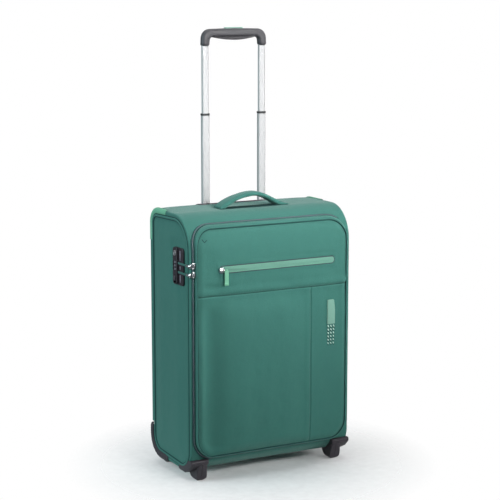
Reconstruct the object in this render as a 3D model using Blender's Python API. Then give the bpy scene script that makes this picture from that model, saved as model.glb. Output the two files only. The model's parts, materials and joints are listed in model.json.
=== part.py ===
"""A soft-sided cabin trolley on two wheels, standing with its tow handle drawn out.

Metres, +Z up. The front (pocket side) faces -Y, the tow handle and wheels are at +Y. The origin is on the
floor under the middle of the case.
"""

import math

import bmesh
import bpy
from mathutils import Matrix, Vector

# Case: an outline in the YZ plane, drawn out along X.
CASE_HALF_WIDTH = 0.1875
CASE_RIM = -0.088
CASE_BACK = 0.100
CASE_BOTTOM = 0.020
CASE_TOP = 0.550
RADIUS_BACK_BOTTOM = 0.045
RADIUS_BACK_TOP = 0.032
RADIUS_FRONT_TOP = 0.070
RADIUS_FRONT_BOTTOM = 0.048
WALL = 0.005
PANEL = 0.004
GAP = 0.0004
ARC_STEPS = 8

# Lid: a tray that lies on the case's rim and follows its bend at the top.
LID_HALF_WIDTH = 0.174
LID_LOW = 0.059
LID_HIGH = 0.524
LID_DEPTH = 0.012
LID_SKIN = 0.003
LID_EDGE = 0.005
LID_CORNER = 0.034
LID_FRONT = CASE_RIM - LID_DEPTH

LID_AXIS = (CASE_HALF_WIDTH + 0.001, -0.0905)

# The hole in the case's front that the lid covers.
MOUTH_HALF_WIDTH = 0.164
MOUTH_LOW = 0.070
MOUTH_HIGH = 0.512

# The wire behind the rim. Its height is measured along the bend.
FRAME_HALF_WIDTH = 0.1725
FRAME_LOW = 0.0665
FRAME_HIGH = 0.528
FRAME_RADIUS = 0.0018

# Zip tapes, as distances outside the lid's edge, and their thickness.
TAPE_LID = (0.0006, 0.0036)
TAPE_CASE = (0.0040, 0.0074)
TAPE_THICK = 0.0020
TAPE_END = 0.150

# Pocket on the lid.
POCKET_ZIP_Z = 0.442
POCKET_ZIP_LEFT = -0.126
POCKET_ZIP_RIGHT = 0.142
POCKET_ZIP_HEIGHT = 0.0145

POCKET_PIVOT = (-0.1130, LID_FRONT - 0.0046, 0.4416)

# The badge in front view, as (x, z, corner radius).
BADGE_OUTLINE = (
    (0.1265, 0.3045, 0.002),
    (0.1450, 0.3045, 0.002),
    (0.1450, 0.3350, 0.004),
    (0.1425, 0.3565, 0.002),
    (0.1265, 0.3565, 0.002),
)

# Main zip sliders, on the straight run at the case's left.
SLIDER_X = -LID_HALF_WIDTH - 0.0062
SLIDER_Z = (0.4535, 0.4350)
SLIDER_SIZE = (0.0090, 0.0054, 0.0120)
PULL_PIVOT = (-CASE_HALF_WIDTH - 0.0025, -0.0940)

# Combination lock on the left side panel.
LOCK_BACK = -0.0230
LOCK_FRONT = -0.0668
LOCK_STEP = -0.0440
LOCK_LOW = 0.408
LOCK_HIGH = 0.485
LOCK_DECK = -CASE_HALF_WIDTH - 0.0034
LOCK_FACE = -CASE_HALF_WIDTH - 0.0068
LOCK_Y = -0.0335
DIAL_X = -CASE_HALF_WIDTH - 0.0012
DIAL_Z = (0.4400, 0.4470, 0.4540)
DIAL_RADIUS = 0.0066
DIAL_THICK = 0.0044
KEY_Z = 0.4725
KEY_RADIUS = 0.0042
RELEASE_Z = (0.4155, 0.4275)
RELEASE_HALF = 0.0045
LOCK_INNER_Y = (-0.0600, -0.0250)
LOCK_INNER_Z = (0.4140, 0.4790)
LOCK_OUTSIDE = -0.21

# Tow handle: guide tubes in the case, a lower and an upper stage, and the grip.
TUBE_X = 0.067
TUBE_Y = 0.080
GUIDE_TUBE = (0.0195, 0.0120, 0.0010)
LOWER_TUBE = (0.0169, 0.0094, 0.0009)
UPPER_TUBE = (0.0146, 0.0071, 0.0008)
GUIDE_Z = (0.0660, 0.5075)
LOWER_Z = (0.4400, 0.7365)
UPPER_Z = (0.6780, 0.8920)
COLLAR_Z = (0.7370, 0.7415)
COLLAR_SIZE = (0.0184, 0.0110)
LATCH_HEIGHT = 0.026
UPPER_PIN_Z = 0.6910
LOWER_PIN_Z = 0.4530
LOCK_HOLES = (0.6910, 0.7180, 0.7290)
PIN_RADIUS = 0.0016
PIN_LENGTH = 0.0085
PIN_TRAVEL = 0.0024

# Grip, in front view.
GRIP_HALF_WIDTH = 0.0765
GRIP_LOW = 0.881
GRIP_TOP = 0.918
GRIP_BAR = 0.9005
GRIP_LEG = 0.0185
GRIP_HALF_DEPTH = 0.0100
BUTTON_HALF = (0.0215, 0.0048)
BUTTON_Z = (0.9100, 0.9196)
BUTTON_TRAVEL = 0.003
PUSH_BAR_Z = (0.9050, 0.9075)
PUSH_ROD_RADIUS = 0.0014
PUSH_ROD_END = 0.6965

# Cup in the case's top that the grip sinks into.
CUP_HALF = 0.0835
CUP_FRONT = 0.0668
CUP_BACK = 0.0934
CUP_FLOOR = 0.5130
BEZEL_HALF = 0.0900
BEZEL_FRONT = 0.0625
BEZEL_LOW = 0.5080

# Wheels at the back, feet at the front, on one floor.
WHEEL_X = 0.160
WHEEL_Y = 0.075
WHEEL_RADIUS = 0.030
WHEEL_WIDTH = 0.022
HUB_RADIUS = 0.0195
AXLE_RADIUS = 0.003
AXLE_LENGTH = 0.042
HOUSING_INNER = 0.128
HOUSING_OUTER = CASE_HALF_WIDTH - 0.0047
HOUSING_FRONT = 0.0300
HOUSING_HIGH = 0.0920
POCKET_RADIUS = 0.0335
FOOT_X = 0.160
FOOT_HALF = 0.0120
FOOT_FRONT = -0.0915
FOOT_BACK = -0.033
FOOT_BASE = 0.0170
FOOT_OUTER = CASE_HALF_WIDTH + 0.0025
FOOT_INNER = 0.1480
# The cap's side view above its base, from the back to the front, as (y, z, corner radius).
FOOT_CREST = (
    (FOOT_BACK, 0.0280, 0.003),
    (-0.0600, 0.0345, 0.010),
    (-0.0780, 0.0480, 0.006),
    (FOOT_FRONT, 0.0480, 0.003),
)
FOOT_FRONT_RADIUS = 0.026
FOOT_BACK_RADIUS = 0.006
FOOT_SIDE_RADIUS = 0.009
# The leg's side view, from the front of its top.
FOOT_LEG = ((-0.0805, 0.0300, 0.0), (-0.0805, 0.0, 0.008), (-0.0610, 0.0, 0.006), (-0.0400, 0.0240, 0.0))
FOOT_LEG_RADIUS = 0.007
# Rounds the leg's upright edges.
FOOT_LEG_TURN = 0.009
FOOT_LEG_BACK = -0.0390

# Carry handle on the top.
CARRY_HALF = 0.080
CARRY_INNER_HALF = 0.052
CARRY_RISE = 0.0290
CARRY_INNER_RISE = 0.0225
CARRY_HALF_DEPTH = 0.0165
CARRY_FOOT = 0.0040
CARRY_FULLNESS = 1.25

SIDES = (("left", -1), ("right", 1))


def clear_scene():
    for obj in list(bpy.data.objects):
        bpy.data.objects.remove(obj)


def material(name, colour, roughness, metallic=0.0):
    made = bpy.data.materials.new(name)
    made.use_nodes = True
    shader = made.node_tree.nodes["Principled BSDF"]
    shader.inputs["Base Color"].default_value = (*colour, 1.0)
    shader.inputs["Roughness"].default_value = roughness
    shader.inputs["Metallic"].default_value = metallic
    return made


def make_materials():
    return {
        "green": material("green_fabric", (0.045, 0.190, 0.155), 0.85),
        "mint": material("mint_trim", (0.240, 0.560, 0.400), 0.55),
        "lining": material("grey_lining", (0.110, 0.115, 0.120), 0.9),
        "tape": material("zip_tape", (0.030, 0.110, 0.095), 0.8),
        "black": material("black_plastic", (0.022, 0.020, 0.024), 0.5),
        "grip": material("grip_plastic", (0.110, 0.108, 0.115), 0.6),
        "alu": material("aluminium_tube", (0.780, 0.785, 0.790), 0.3, 1.0),
        "steel": material("steel", (0.620, 0.620, 0.630), 0.35, 1.0),
        "chrome": material("chrome_zip", (0.820, 0.820, 0.830), 0.15, 1.0),
        "rubber": material("wheel_rubber", (0.018, 0.018, 0.020), 0.8),
        "dial": material("dial_plastic", (0.450, 0.440, 0.460), 0.4),
    }


# ---- outlines


def rounded(corners, steps=ARC_STEPS):
    """The outline through corners (a, b, radius), each turned with an arc of that radius."""
    points = []
    for i, (a, b, radius) in enumerate(corners):
        here = Vector((a, b))
        if radius <= 0:
            points.append((a, b))
            continue
        to_last = (Vector(corners[i - 1][:2]) - here).normalized()
        to_next = (Vector(corners[(i + 1) % len(corners)][:2]) - here).normalized()
        half = to_last.angle(to_next) / 2
        centre = here + (to_last + to_next).normalized() * (radius / math.sin(half))
        start = here + to_last * (radius / math.tan(half)) - centre
        end = here + to_next * (radius / math.tan(half)) - centre
        sweep = start.angle(end)
        if start.x * end.y - start.y * end.x < 0:
            sweep = -sweep
        first = math.atan2(start.y, start.x)
        for step in range(steps + 1):
            angle = first + sweep * step / steps
            points.append((centre.x + radius * math.cos(angle), centre.y + radius * math.sin(angle)))
    return points


def rectangle(a0, a1, b0, b1, radius=0.0, steps=4):
    corners = [(a0, b0, radius), (a1, b0, radius), (a1, b1, radius), (a0, b1, radius)]
    return rounded(corners, steps)


def case_outline(inset=0.0):
    """The case's side view, (y, z), moved in by inset."""
    front, back = CASE_RIM + inset, CASE_BACK - inset
    low, high = CASE_BOTTOM + inset, CASE_TOP - inset
    return rounded(
        [
            (front, low, RADIUS_FRONT_BOTTOM - inset),
            (back, low, RADIUS_BACK_BOTTOM - inset),
            (back, high, RADIUS_BACK_TOP - inset),
            (front, high, RADIUS_FRONT_TOP - inset),
        ]
    )


def front_layer(near, far):
    """A layer in front of the rim, between two distances from it: straight, then bent back at the top."""
    bend_z = CASE_TOP - RADIUS_FRONT_TOP
    bend_y = CASE_RIM + RADIUS_FRONT_TOP
    angles = [math.radians(65) * step / ARC_STEPS for step in range(ARC_STEPS + 1)]

    def side(distance):
        radius = RADIUS_FRONT_TOP + distance
        return [(bend_y - radius * math.cos(a), bend_z + radius * math.sin(a)) for a in angles]

    first, last = (CASE_RIM - far, CASE_BOTTOM), (CASE_RIM - near, CASE_BOTTOM)
    return [first, *side(far), *reversed(side(near)), last]


def lid_outline(outset=0.0, steps=ARC_STEPS):
    half = LID_HALF_WIDTH + outset
    return rectangle(-half, half, LID_LOW - outset, LID_HIGH + outset, LID_CORNER + outset, steps)


# ---- solids


def add_object(name, bm, skin=None):
    bmesh.ops.recalc_face_normals(bm, faces=bm.faces)
    mesh = bpy.data.meshes.new(name)
    bm.to_mesh(mesh)
    bm.free()
    mesh.shade_smooth()
    mesh.set_sharp_from_angle(angle=math.radians(35))
    obj = bpy.data.objects.new(name, mesh)
    bpy.context.scene.collection.objects.link(obj)
    if skin:
        mesh.materials.append(skin)
    return obj


def prism(name, outline, axis, low, high, skin=None):
    """The outline drawn along an axis: (y, z) along X, (x, z) along Y or (x, y) along Z."""
    place = {
        "X": lambda a, b, along: (along, a, b),
        "Y": lambda a, b, along: (a, along, b),
        "Z": lambda a, b, along: (a, b, along),
    }[axis]
    bm = bmesh.new()
    face = bm.faces.new([bm.verts.new(place(a, b, low)) for a, b in outline])
    grown = bmesh.ops.extrude_face_region(bm, geom=[face])
    moved = [v for v in grown["geom"] if isinstance(v, bmesh.types.BMVert)]
    bmesh.ops.translate(bm, verts=moved, vec=Vector(place(0, 0, high - low)))
    return add_object(name, bm, skin)


def block(name, low, high, skin=None):
    return prism(name, rectangle(low[0], high[0], low[1], high[1]), "Z", low[2], high[2], skin)


def lathe(name, profile, centre, axis, skin=None, steps=24):
    """A closed profile of (radius, along) turned round an axis through centre."""
    spread = {
        "X": lambda r, a, c, s: (a, r * c, r * s),
        "Z": lambda r, a, c, s: (r * c, r * s, a),
    }[axis]
    bm = bmesh.new()
    rings = []
    for step in range(steps):
        turn = 2 * math.pi * step / steps
        cosine, sine = math.cos(turn), math.sin(turn)
        around = [Vector(spread(r, a, cosine, sine)) + Vector(centre) for r, a in profile]
        rings.append([bm.verts.new(point) for point in around])
    for step, ring in enumerate(rings):
        after = rings[(step + 1) % steps]
        for i in range(len(profile)):
            j = (i + 1) % len(profile)
            bm.faces.new((ring[i], ring[j], after[j], after[i]))
    bmesh.ops.remove_doubles(bm, verts=bm.verts, dist=1e-6)
    bmesh.ops.dissolve_degenerate(bm, edges=bm.edges, dist=1e-7)
    return add_object(name, bm, skin)


def rod(name, start, length, axis, radius, skin=None, steps=12):
    """A round bar from start, along an axis."""
    corner = [(0, 0), (radius, 0), (radius, length), (0, length)]
    return lathe(name, corner, start, axis, skin, steps)


def modify(obj, operation, other):
    change = obj.modifiers.new(operation.lower() + "_" + other.name, "BOOLEAN")
    change.operation = operation
    change.object = other
    other.parent = obj
    other.hide_render = True
    other.display_type = "WIRE"
    return obj


def cut(obj, *others):
    for other in others:
        modify(obj, "DIFFERENCE", other)
    return obj


def join(obj, *others):
    for other in others:
        modify(obj, "UNION", other)
    return obj


def keep(obj, other):
    return modify(obj, "INTERSECT", other)


def soften(obj, width, segments=2, angle=40):
    bevel = obj.modifiers.new("soften", "BEVEL")
    bevel.width = width
    bevel.segments = segments
    bevel.limit_method = "ANGLE"
    bevel.angle_limit = math.radians(angle)
    return obj


def hang(piece, empty):
    """Parents a piece to an empty and leaves the piece where it is."""
    piece.parent = empty
    piece.matrix_parent_inverse = Matrix.Translation(-empty.location)


def moving_frame(name, point, piece_names, parent=None):
    """An empty on a joint's axis, which carries the pieces that move with it."""
    empty = bpy.data.objects.new(name, None)
    empty.empty_display_size = 0.02
    empty.location = point
    bpy.context.scene.collection.objects.link(empty)
    if parent:
        hang(empty, parent)
    for piece_name in piece_names:
        hang(bpy.data.objects[piece_name], empty)
    return empty


def sheet_piece(name, near, far, outline, skin):
    """A piece of the front layer, cut to an outline in front view."""
    piece = prism(name, front_layer(near, far), "X", -0.30, 0.30, skin)
    return keep(piece, prism(name + "_outline", outline, "Y", -0.30, 0.30))


# ---- the case


def foot_space(name, side, clearance):
    """The room that a foot takes out of the case's bottom corner."""
    inner, outer = FOOT_INNER - clearance, FOOT_OUTER + clearance
    low, high = sorted((side * inner, side * outer))
    base = FOOT_BASE - clearance
    front, back = FOOT_FRONT - clearance, FOOT_BACK + clearance
    corners = [(front, base, FOOT_FRONT_RADIUS), (back, base, FOOT_BACK_RADIUS)]
    corners += [(back, FOOT_CREST[0][1] + clearance, FOOT_CREST[0][2])]
    corners += [(y, z + clearance, radius) for y, z, radius in FOOT_CREST[1:-1]]
    corners += [(front, FOOT_CREST[-1][1] + clearance, FOOT_CREST[-1][2])]
    space = prism(name, rounded(corners, 5), "X", low, high)
    turn = [
        (side * outer, base, FOOT_SIDE_RADIUS),
        (side * outer, CASE_TOP, 0.0),
        (side * inner, CASE_TOP, 0.0),
        (side * inner, base, 0.0),
    ]
    return keep(space, prism(name + "_turn", rounded(turn, 6), "Y", -0.2, 0.2))


def make_case(skins):
    edge = CASE_HALF_WIDTH - PANEL - GAP
    gusset = prism("case_gusset", case_outline(), "X", -edge, edge, skins["green"])
    cut(gusset, prism("case_room", case_outline(WALL), "X", -0.3, 0.3))
    mouth = rectangle(-MOUTH_HALF_WIDTH, MOUTH_HALF_WIDTH, MOUTH_LOW, MOUTH_HIGH, 0.026, 6)
    cut(gusset, prism("case_mouth", mouth, "Y", -0.2, -0.045))
    low, high = (-BEZEL_HALF - GAP, BEZEL_FRONT - GAP, BEZEL_LOW - GAP), (BEZEL_HALF + GAP, 0.2, 0.6)
    cut(gusset, block("bezel_space", low, high))
    for side_name, side in SIDES:
        inner, outer = sorted((side * (HOUSING_INNER - GAP), side * 0.3))
        low, high = (inner, HOUSING_FRONT - GAP, 0.0), (outer, 0.2, HOUSING_HIGH + GAP)
        cut(gusset, block("wheel_space_" + side_name, low, high))
        cut(gusset, foot_space("gusset_foot_space_" + side_name, side, GAP))
        low, high = sorted((side * (CASE_HALF_WIDTH - PANEL), side * CASE_HALF_WIDTH))
        panel = prism("side_panel_" + side_name, case_outline(), "X", low, high, skins["green"])
        cut(panel, foot_space("panel_foot_space_" + side_name, side, GAP))
        if side < 0:
            cut(panel, make_lock_hole())
    make_opening_frame(skins)
    make_hinge_strip(skins)
    tape = sheet_piece("zip_tape_case", GAP, GAP + TAPE_THICK, lid_outline(TAPE_CASE[1]), skins["tape"])
    cut(tape, prism("zip_tape_case_inside", lid_outline(TAPE_CASE[0]), "Y", -0.3, 0.3))
    cut(tape, block("zip_tape_case_end", (TAPE_END, -0.3, 0.0), (0.3, 0.3, 0.7)))


def make_lock_hole():
    """The hole in the side panel that the lock's inner part passes through."""
    (front, back), (low, high) = LOCK_INNER_Y, LOCK_INNER_Z
    return prism("lock_hole", rectangle(front - GAP, back + GAP, low - GAP, high + GAP), "X", -0.3, -0.1)


def make_opening_frame(skins):
    """The sprung wire that holds the case's mouth open, behind the rim and bent like it."""
    depth = WALL + FRAME_RADIUS + 0.0006
    bend_z, reach = CASE_TOP - RADIUS_FRONT_TOP, RADIUS_FRONT_TOP - depth
    outline = rectangle(-FRAME_HALF_WIDTH, FRAME_HALF_WIDTH, FRAME_LOW, FRAME_HIGH, 0.030, 5)
    curve = bpy.data.curves.new("opening_frame", "CURVE")
    curve.dimensions = "3D"
    spline = curve.splines.new("POLY")
    spline.points.add(len(outline) - 1)
    for point, (x, along) in zip(spline.points, outline):
        turn = max(0.0, along - bend_z) / reach
        y = CASE_RIM + RADIUS_FRONT_TOP - reach * math.cos(turn)
        point.co = (x, y, min(along, bend_z) + reach * math.sin(turn), 1)
    spline.use_cyclic_u = True
    curve.bevel_depth = FRAME_RADIUS
    curve.bevel_resolution = 1
    curve.materials.append(skins["steel"])
    bpy.context.scene.collection.objects.link(bpy.data.objects.new("opening_frame", curve))


def make_hinge_strip(skins):
    """The strip of fabric that the lid swings on, at the case's right."""
    low = (LID_HALF_WIDTH + 0.0015, -0.0925, 0.085)
    high = (CASE_HALF_WIDTH - 0.0050, CASE_RIM - GAP, 0.480)
    block("hinge_strip", low, high, skins["green"])


def make_carry_handle(skins):
    base = CASE_TOP + GAP
    steps = 14
    outer = []
    inner = []
    for step in range(steps + 1):
        share = -1 + 2 * step / steps
        arch = max(0.0, math.cos(math.pi * share / 2)) ** CARRY_FULLNESS
        outer.append((CARRY_HALF * share, base + CARRY_FOOT + CARRY_RISE * arch))
        inner.append((CARRY_INNER_HALF * share, base + CARRY_INNER_RISE * math.cos(math.pi * share / 2)))
    outline = [(-CARRY_HALF, base), *outer, (CARRY_HALF, base), *reversed(inner)]
    low, high = -CARRY_HALF_DEPTH, CARRY_HALF_DEPTH
    handle = prism("carry_handle", outline, "Y", low, high, skins["green"])
    return soften(handle, 0.0012, 1, 60)


# ---- wheels, feet and guards


def corner_path(distance):
    """The back bottom edge of the case in side view, moved out by distance: down the back and forward."""
    radius = RADIUS_BACK_BOTTOM + distance
    centre = (CASE_BACK - RADIUS_BACK_BOTTOM, CASE_BOTTOM + RADIUS_BACK_BOTTOM)
    points = [(CASE_BACK + distance, 0.0860)]
    for step in range(ARC_STEPS + 1):
        angle = -math.pi / 2 * step / ARC_STEPS
        points.append((centre[0] + radius * math.cos(angle), centre[1] + radius * math.sin(angle)))
    points.append((0.0180, CASE_BOTTOM - distance))
    return points


def make_corner_guard(side_name, side, skins):
    """A bent strip over the side panel's edge, L-shaped in section."""
    face, lip = side * (CASE_HALF_WIDTH + 0.0035), side * (CASE_HALF_WIDTH - 0.0042)
    under = side * (CASE_HALF_WIDTH + GAP)
    section = [(-0.012, face), (0.003, face), (0.003, lip), (GAP, lip), (GAP, under), (-0.012, under)]
    paths = [corner_path(distance) for distance, _ in section]
    bm = bmesh.new()
    rings = []
    for station in range(len(paths[0])):
        ring = []
        for path, (_, x) in zip(paths, section):
            y, z = path[station]
            ring.append(bm.verts.new((x, y, z)))
        rings.append(ring)
    for ring, after in zip(rings, rings[1:]):
        for i in range(len(section)):
            j = (i + 1) % len(section)
            bm.faces.new((ring[i], ring[j], after[j], after[i]))
    bm.faces.new(rings[0])
    bm.faces.new(rings[-1])
    return add_object("corner_guard_" + side_name, bm, skins["black"])


def make_wheel(side_name, side, skins):
    centre = (side * WHEEL_X, WHEEL_Y, WHEEL_RADIUS)
    half = WHEEL_WIDTH / 2
    tread = [
        (HUB_RADIUS + 0.0003, -half + 0.001),
        (WHEEL_RADIUS - 0.004, -half),
        (WHEEL_RADIUS - 0.0012, -half + 0.002),
        (WHEEL_RADIUS, -half + 0.006),
        (WHEEL_RADIUS, half - 0.006),
        (WHEEL_RADIUS - 0.0012, half - 0.002),
        (WHEEL_RADIUS - 0.004, half),
        (HUB_RADIUS + 0.0003, half - 0.001),
    ]
    lathe("tyre_" + side_name, tread, centre, "X", skins["rubber"], 32)
    hub = [
        (AXLE_RADIUS + 0.0003, -half),
        (0.007, -half),
        (0.008, -half + 0.004),
        (HUB_RADIUS, -half + 0.002),
        (HUB_RADIUS, half - 0.002),
        (0.008, half - 0.004),
        (0.007, half),
        (AXLE_RADIUS + 0.0003, half),
    ]
    lathe("hub_" + side_name, hub, centre, "X", skins["black"], 20)
    start = side * WHEEL_X - AXLE_LENGTH / 2
    rod("axle_" + side_name, (start, WHEEL_Y, WHEEL_RADIUS), AXLE_LENGTH, "X", AXLE_RADIUS, skins["steel"])


def make_wheel_housing(side_name, side, skins):
    """A moulded corner, with a pocket that is open below and behind for the wheel."""
    radius = RADIUS_BACK_BOTTOM + 0.001
    corners = [
        (HOUSING_FRONT, CASE_BOTTOM - 0.001, 0.003),
        (CASE_BACK + 0.001, CASE_BOTTOM - 0.001, radius),
        (CASE_BACK + 0.001, HOUSING_HIGH, 0.003),
        (0.0720, HOUSING_HIGH, 0.006),
        (HOUSING_FRONT, 0.0620, 0.012),
    ]
    low, high = sorted((side * HOUSING_INNER, side * HOUSING_OUTER))
    housing = prism("wheel_housing_" + side_name, rounded(corners), "X", low, high, skins["black"])
    pocket_start = side * WHEEL_X - WHEEL_WIDTH / 2 - 0.002
    centre_line = (WHEEL_Y, WHEEL_RADIUS)
    name, width = "wheel_pocket_" + side_name, WHEEL_WIDTH + 0.004
    pocket = rod(name, (pocket_start, *centre_line), width, "X", POCKET_RADIUS, None, 32)
    start = side * WHEEL_X - AXLE_LENGTH / 2 - 0.0005
    name, length = "axle_bore_" + side_name, AXLE_LENGTH + 0.001
    bore = rod(name, (start, *centre_line), length, "X", AXLE_RADIUS + 0.0003)
    return cut(housing, pocket, bore)


def make_foot(side_name, side, skins):
    """A moulded corner cap with a rounded leg under it, flat where it stands."""
    foot = foot_space("foot_" + side_name, side, 0.0)
    foot.data.materials.append(skins["black"])
    inner, outer = side * FOOT_X - FOOT_HALF, side * FOOT_X + FOOT_HALF
    leg = prism("leg_" + side_name, rounded(FOOT_LEG, 6), "X", inner - GAP, outer + GAP)
    top = FOOT_LEG[0][1] + 0.001
    front = [
        (inner, 0.0, FOOT_LEG_RADIUS),
        (outer, 0.0, FOOT_LEG_RADIUS),
        (outer, top, 0.0),
        (inner, top, 0.0),
    ]
    keep(leg, prism("leg_turn_" + side_name, rounded(front, 6), "Y", -0.2, 0.2))
    trim = 0.0002
    plan = rectangle(inner + trim, outer - trim, FOOT_LEG[0][0] + trim, FOOT_LEG_BACK, FOOT_LEG_TURN, 4)
    keep(leg, prism("leg_plan_" + side_name, plan, "Z", -0.1, 0.1))
    return join(foot, leg)


# ---- the tow handle


def tube(name, size, x, z_range, skin, holes=()):
    """A flat tube, x wide and y deep with a wall, and round lock holes in the side that faces inwards."""
    wide, deep, wall = size
    low, high = z_range
    outer = rectangle(x - wide / 2, x + wide / 2, TUBE_Y - deep / 2, TUBE_Y + deep / 2, 0.0022, 3)
    made = prism(name, outer, "Z", low, high, skin)
    hollow = rectangle(
        x - wide / 2 + wall,
        x + wide / 2 - wall,
        TUBE_Y - deep / 2 + wall,
        TUBE_Y + deep / 2 - wall,
        0.0014,
        3,
    )
    cut(made, prism(name + "_hollow", hollow, "Z", low - 0.01, high + 0.01))
    for number, z in enumerate(holes):
        start = x - 0.015 if x > 0 else x
        hole = rod(f"{name}_hole_{number}", (start, TUBE_Y, z), 0.015, "X", PIN_RADIUS + 0.0004, None, 8)
        cut(made, hole)
    return made


def latch(stage, side_name, side, size, low, pin_z, skins):
    """The plug in a tube's lower end, and the pin that slides in it, its tip flush with the tube."""
    wide, deep, wall = size
    x = side * TUBE_X
    half_x = wide / 2 - wall - 0.0003
    half_y = deep / 2 - wall - 0.0003
    outline = rectangle(x - half_x, x + half_x, TUBE_Y - half_y, TUBE_Y + half_y, 0.0012, 2)
    plug = prism(f"{stage}_latch_{side_name}", outline, "Z", low, low + LATCH_HEIGHT, skins["black"])
    reach = wide / 2 - 0.0002
    tip = x - side * reach
    room = PIN_LENGTH + PIN_TRAVEL + 0.0006
    mouth = tip - side * 0.002
    bore_start = min(mouth, mouth + side * (room + 0.002))
    bore = rod(
        f"{stage}_pin_bore_{side_name}", (bore_start, TUBE_Y, pin_z), room + 0.002, "X", PIN_RADIUS + 0.0002
    )
    name, radius = f"{stage}_rod_slot_{side_name}", PUSH_ROD_RADIUS + 0.0004
    slot = rod(name, (x, TUBE_Y, pin_z), 0.030, "Z", radius, None, 8)
    cut(plug, bore, slot)
    start = min(tip, tip + side * PIN_LENGTH)
    rod(f"{stage}_pin_{side_name}", (start, TUBE_Y, pin_z), PIN_LENGTH, "X", PIN_RADIUS, skins["steel"], 10)


def make_tow_handle(skins):
    for side_name, side in SIDES:
        x = side * TUBE_X
        tube("guide_tube_" + side_name, GUIDE_TUBE, x, GUIDE_Z, skins["alu"], (LOWER_PIN_Z,))
        tube("lower_tube_" + side_name, LOWER_TUBE, x, LOWER_Z, skins["alu"], (LOWER_PIN_Z, *LOCK_HOLES))
        tube("upper_tube_" + side_name, UPPER_TUBE, x, UPPER_Z, skins["alu"], (UPPER_PIN_Z,))
        latch("lower", side_name, side, LOWER_TUBE, LOWER_Z[0], LOWER_PIN_Z, skins)
        latch("upper", side_name, side, UPPER_TUBE, UPPER_Z[0], UPPER_PIN_Z, skins)
        wide, deep = COLLAR_SIZE[0] / 2, COLLAR_SIZE[1] / 2
        ring = rectangle(x - wide, x + wide, TUBE_Y - deep, TUBE_Y + deep, 0.0026, 3)
        collar = prism("collar_" + side_name, ring, "Z", *COLLAR_Z, skins["black"])
        wide, deep = UPPER_TUBE[0] / 2 + 0.0002, UPPER_TUBE[1] / 2 + 0.0002
        bore = rectangle(x - wide, x + wide, TUBE_Y - deep, TUBE_Y + deep, 0.0022, 3)
        cut(collar, prism("collar_bore_" + side_name, bore, "Z", 0.7, 0.8))
    low, high = (-0.085, 0.0700, 0.0480), (0.085, 0.0900, GUIDE_Z[0] - 0.0003)
    base = block("guide_base", low, high, skins["black"])
    soften(base, 0.002, 1)
    make_bezel(skins)
    make_grip(skins)


def make_bezel(skins):
    """The moulded cup at the top of the back, with the two holes that the tubes pass through."""
    inside = BEZEL_LOW
    corners = [
        (BEZEL_FRONT, inside, 0.0),
        (CASE_BACK + 0.001, inside, 0.0),
        (CASE_BACK + 0.001, CASE_TOP + 0.001, RADIUS_BACK_TOP + 0.001),
        (BEZEL_FRONT, CASE_TOP + 0.001, 0.0),
    ]
    bezel = prism("handle_bezel", rounded(corners), "X", -BEZEL_HALF, BEZEL_HALF, skins["black"])
    cup = rectangle(-CUP_HALF, CUP_HALF, CUP_FRONT, CUP_BACK, 0.006)
    cut(bezel, prism("grip_cup", cup, "Z", CUP_FLOOR, 0.7))
    for side_name, side in SIDES:
        x = side * TUBE_X
        wide, deep = LOWER_TUBE[0] / 2 + 0.0003, LOWER_TUBE[1] / 2 + 0.0003
        hole = rectangle(x - wide, x + wide, TUBE_Y - deep, TUBE_Y + deep, 0.0022, 3)
        cut(bezel, prism("bezel_hole_" + side_name, hole, "Z", 0.49, 0.53))
    return bezel


def make_grip(skins):
    low, high = TUBE_Y - GRIP_HALF_DEPTH, TUBE_Y + GRIP_HALF_DEPTH
    inner = GRIP_HALF_WIDTH - GRIP_LEG
    outline = rounded(
        [
            (-GRIP_HALF_WIDTH, GRIP_LOW, 0.0),
            (-inner, GRIP_LOW, 0.0),
            (-inner + 0.001, GRIP_BAR, 0.008),
            (inner - 0.001, GRIP_BAR, 0.008),
            (inner, GRIP_LOW, 0.0),
            (GRIP_HALF_WIDTH, GRIP_LOW, 0.0),
            (GRIP_HALF_WIDTH - 0.002, GRIP_TOP - 0.002, 0.018),
            (0.0, GRIP_TOP, 0.0),
            (-GRIP_HALF_WIDTH + 0.002, GRIP_TOP - 0.002, 0.018),
        ],
        6,
    )
    grip = soften(prism("grip_shell", outline, "Y", low, high, skins["grip"]), 0.0035, 2, 50)
    pocket = (BUTTON_HALF[0] + 0.0004, BUTTON_HALF[1] + 0.0004)
    floor = BUTTON_Z[0] - BUTTON_TRAVEL - 0.0004
    low, high = (-pocket[0], TUBE_Y - pocket[1], floor), (pocket[0], TUBE_Y + pocket[1], 0.93)
    cut(grip, block("button_pocket", low, high))
    end, floor, roof = TUBE_X + 0.0030, PUSH_BAR_Z[0] - BUTTON_TRAVEL - 0.0004, PUSH_BAR_Z[1] + 0.0008
    cut(grip, block("push_bar_channel", (-end, TUBE_Y - 0.0024, floor), (end, TUBE_Y + 0.0024, roof)))
    for side_name, side in SIDES:
        x = side * TUBE_X
        wide, deep = UPPER_TUBE[0] / 2 + 0.0003, UPPER_TUBE[1] / 2 + 0.0003
        outline = rectangle(x - wide, x + wide, TUBE_Y - deep, TUBE_Y + deep)
        cut(grip, prism("grip_socket_" + side_name, outline, "Z", 0.86, UPPER_Z[1] + 0.0005))
        space = block(
            "rod_channel_" + side_name,
            (x - 0.0022, TUBE_Y - 0.0022, 0.88),
            (x + 0.0022, TUBE_Y + 0.0022, 0.905),
        )
        cut(grip, space)
    make_grip_insert(skins)
    make_button(skins)


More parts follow.
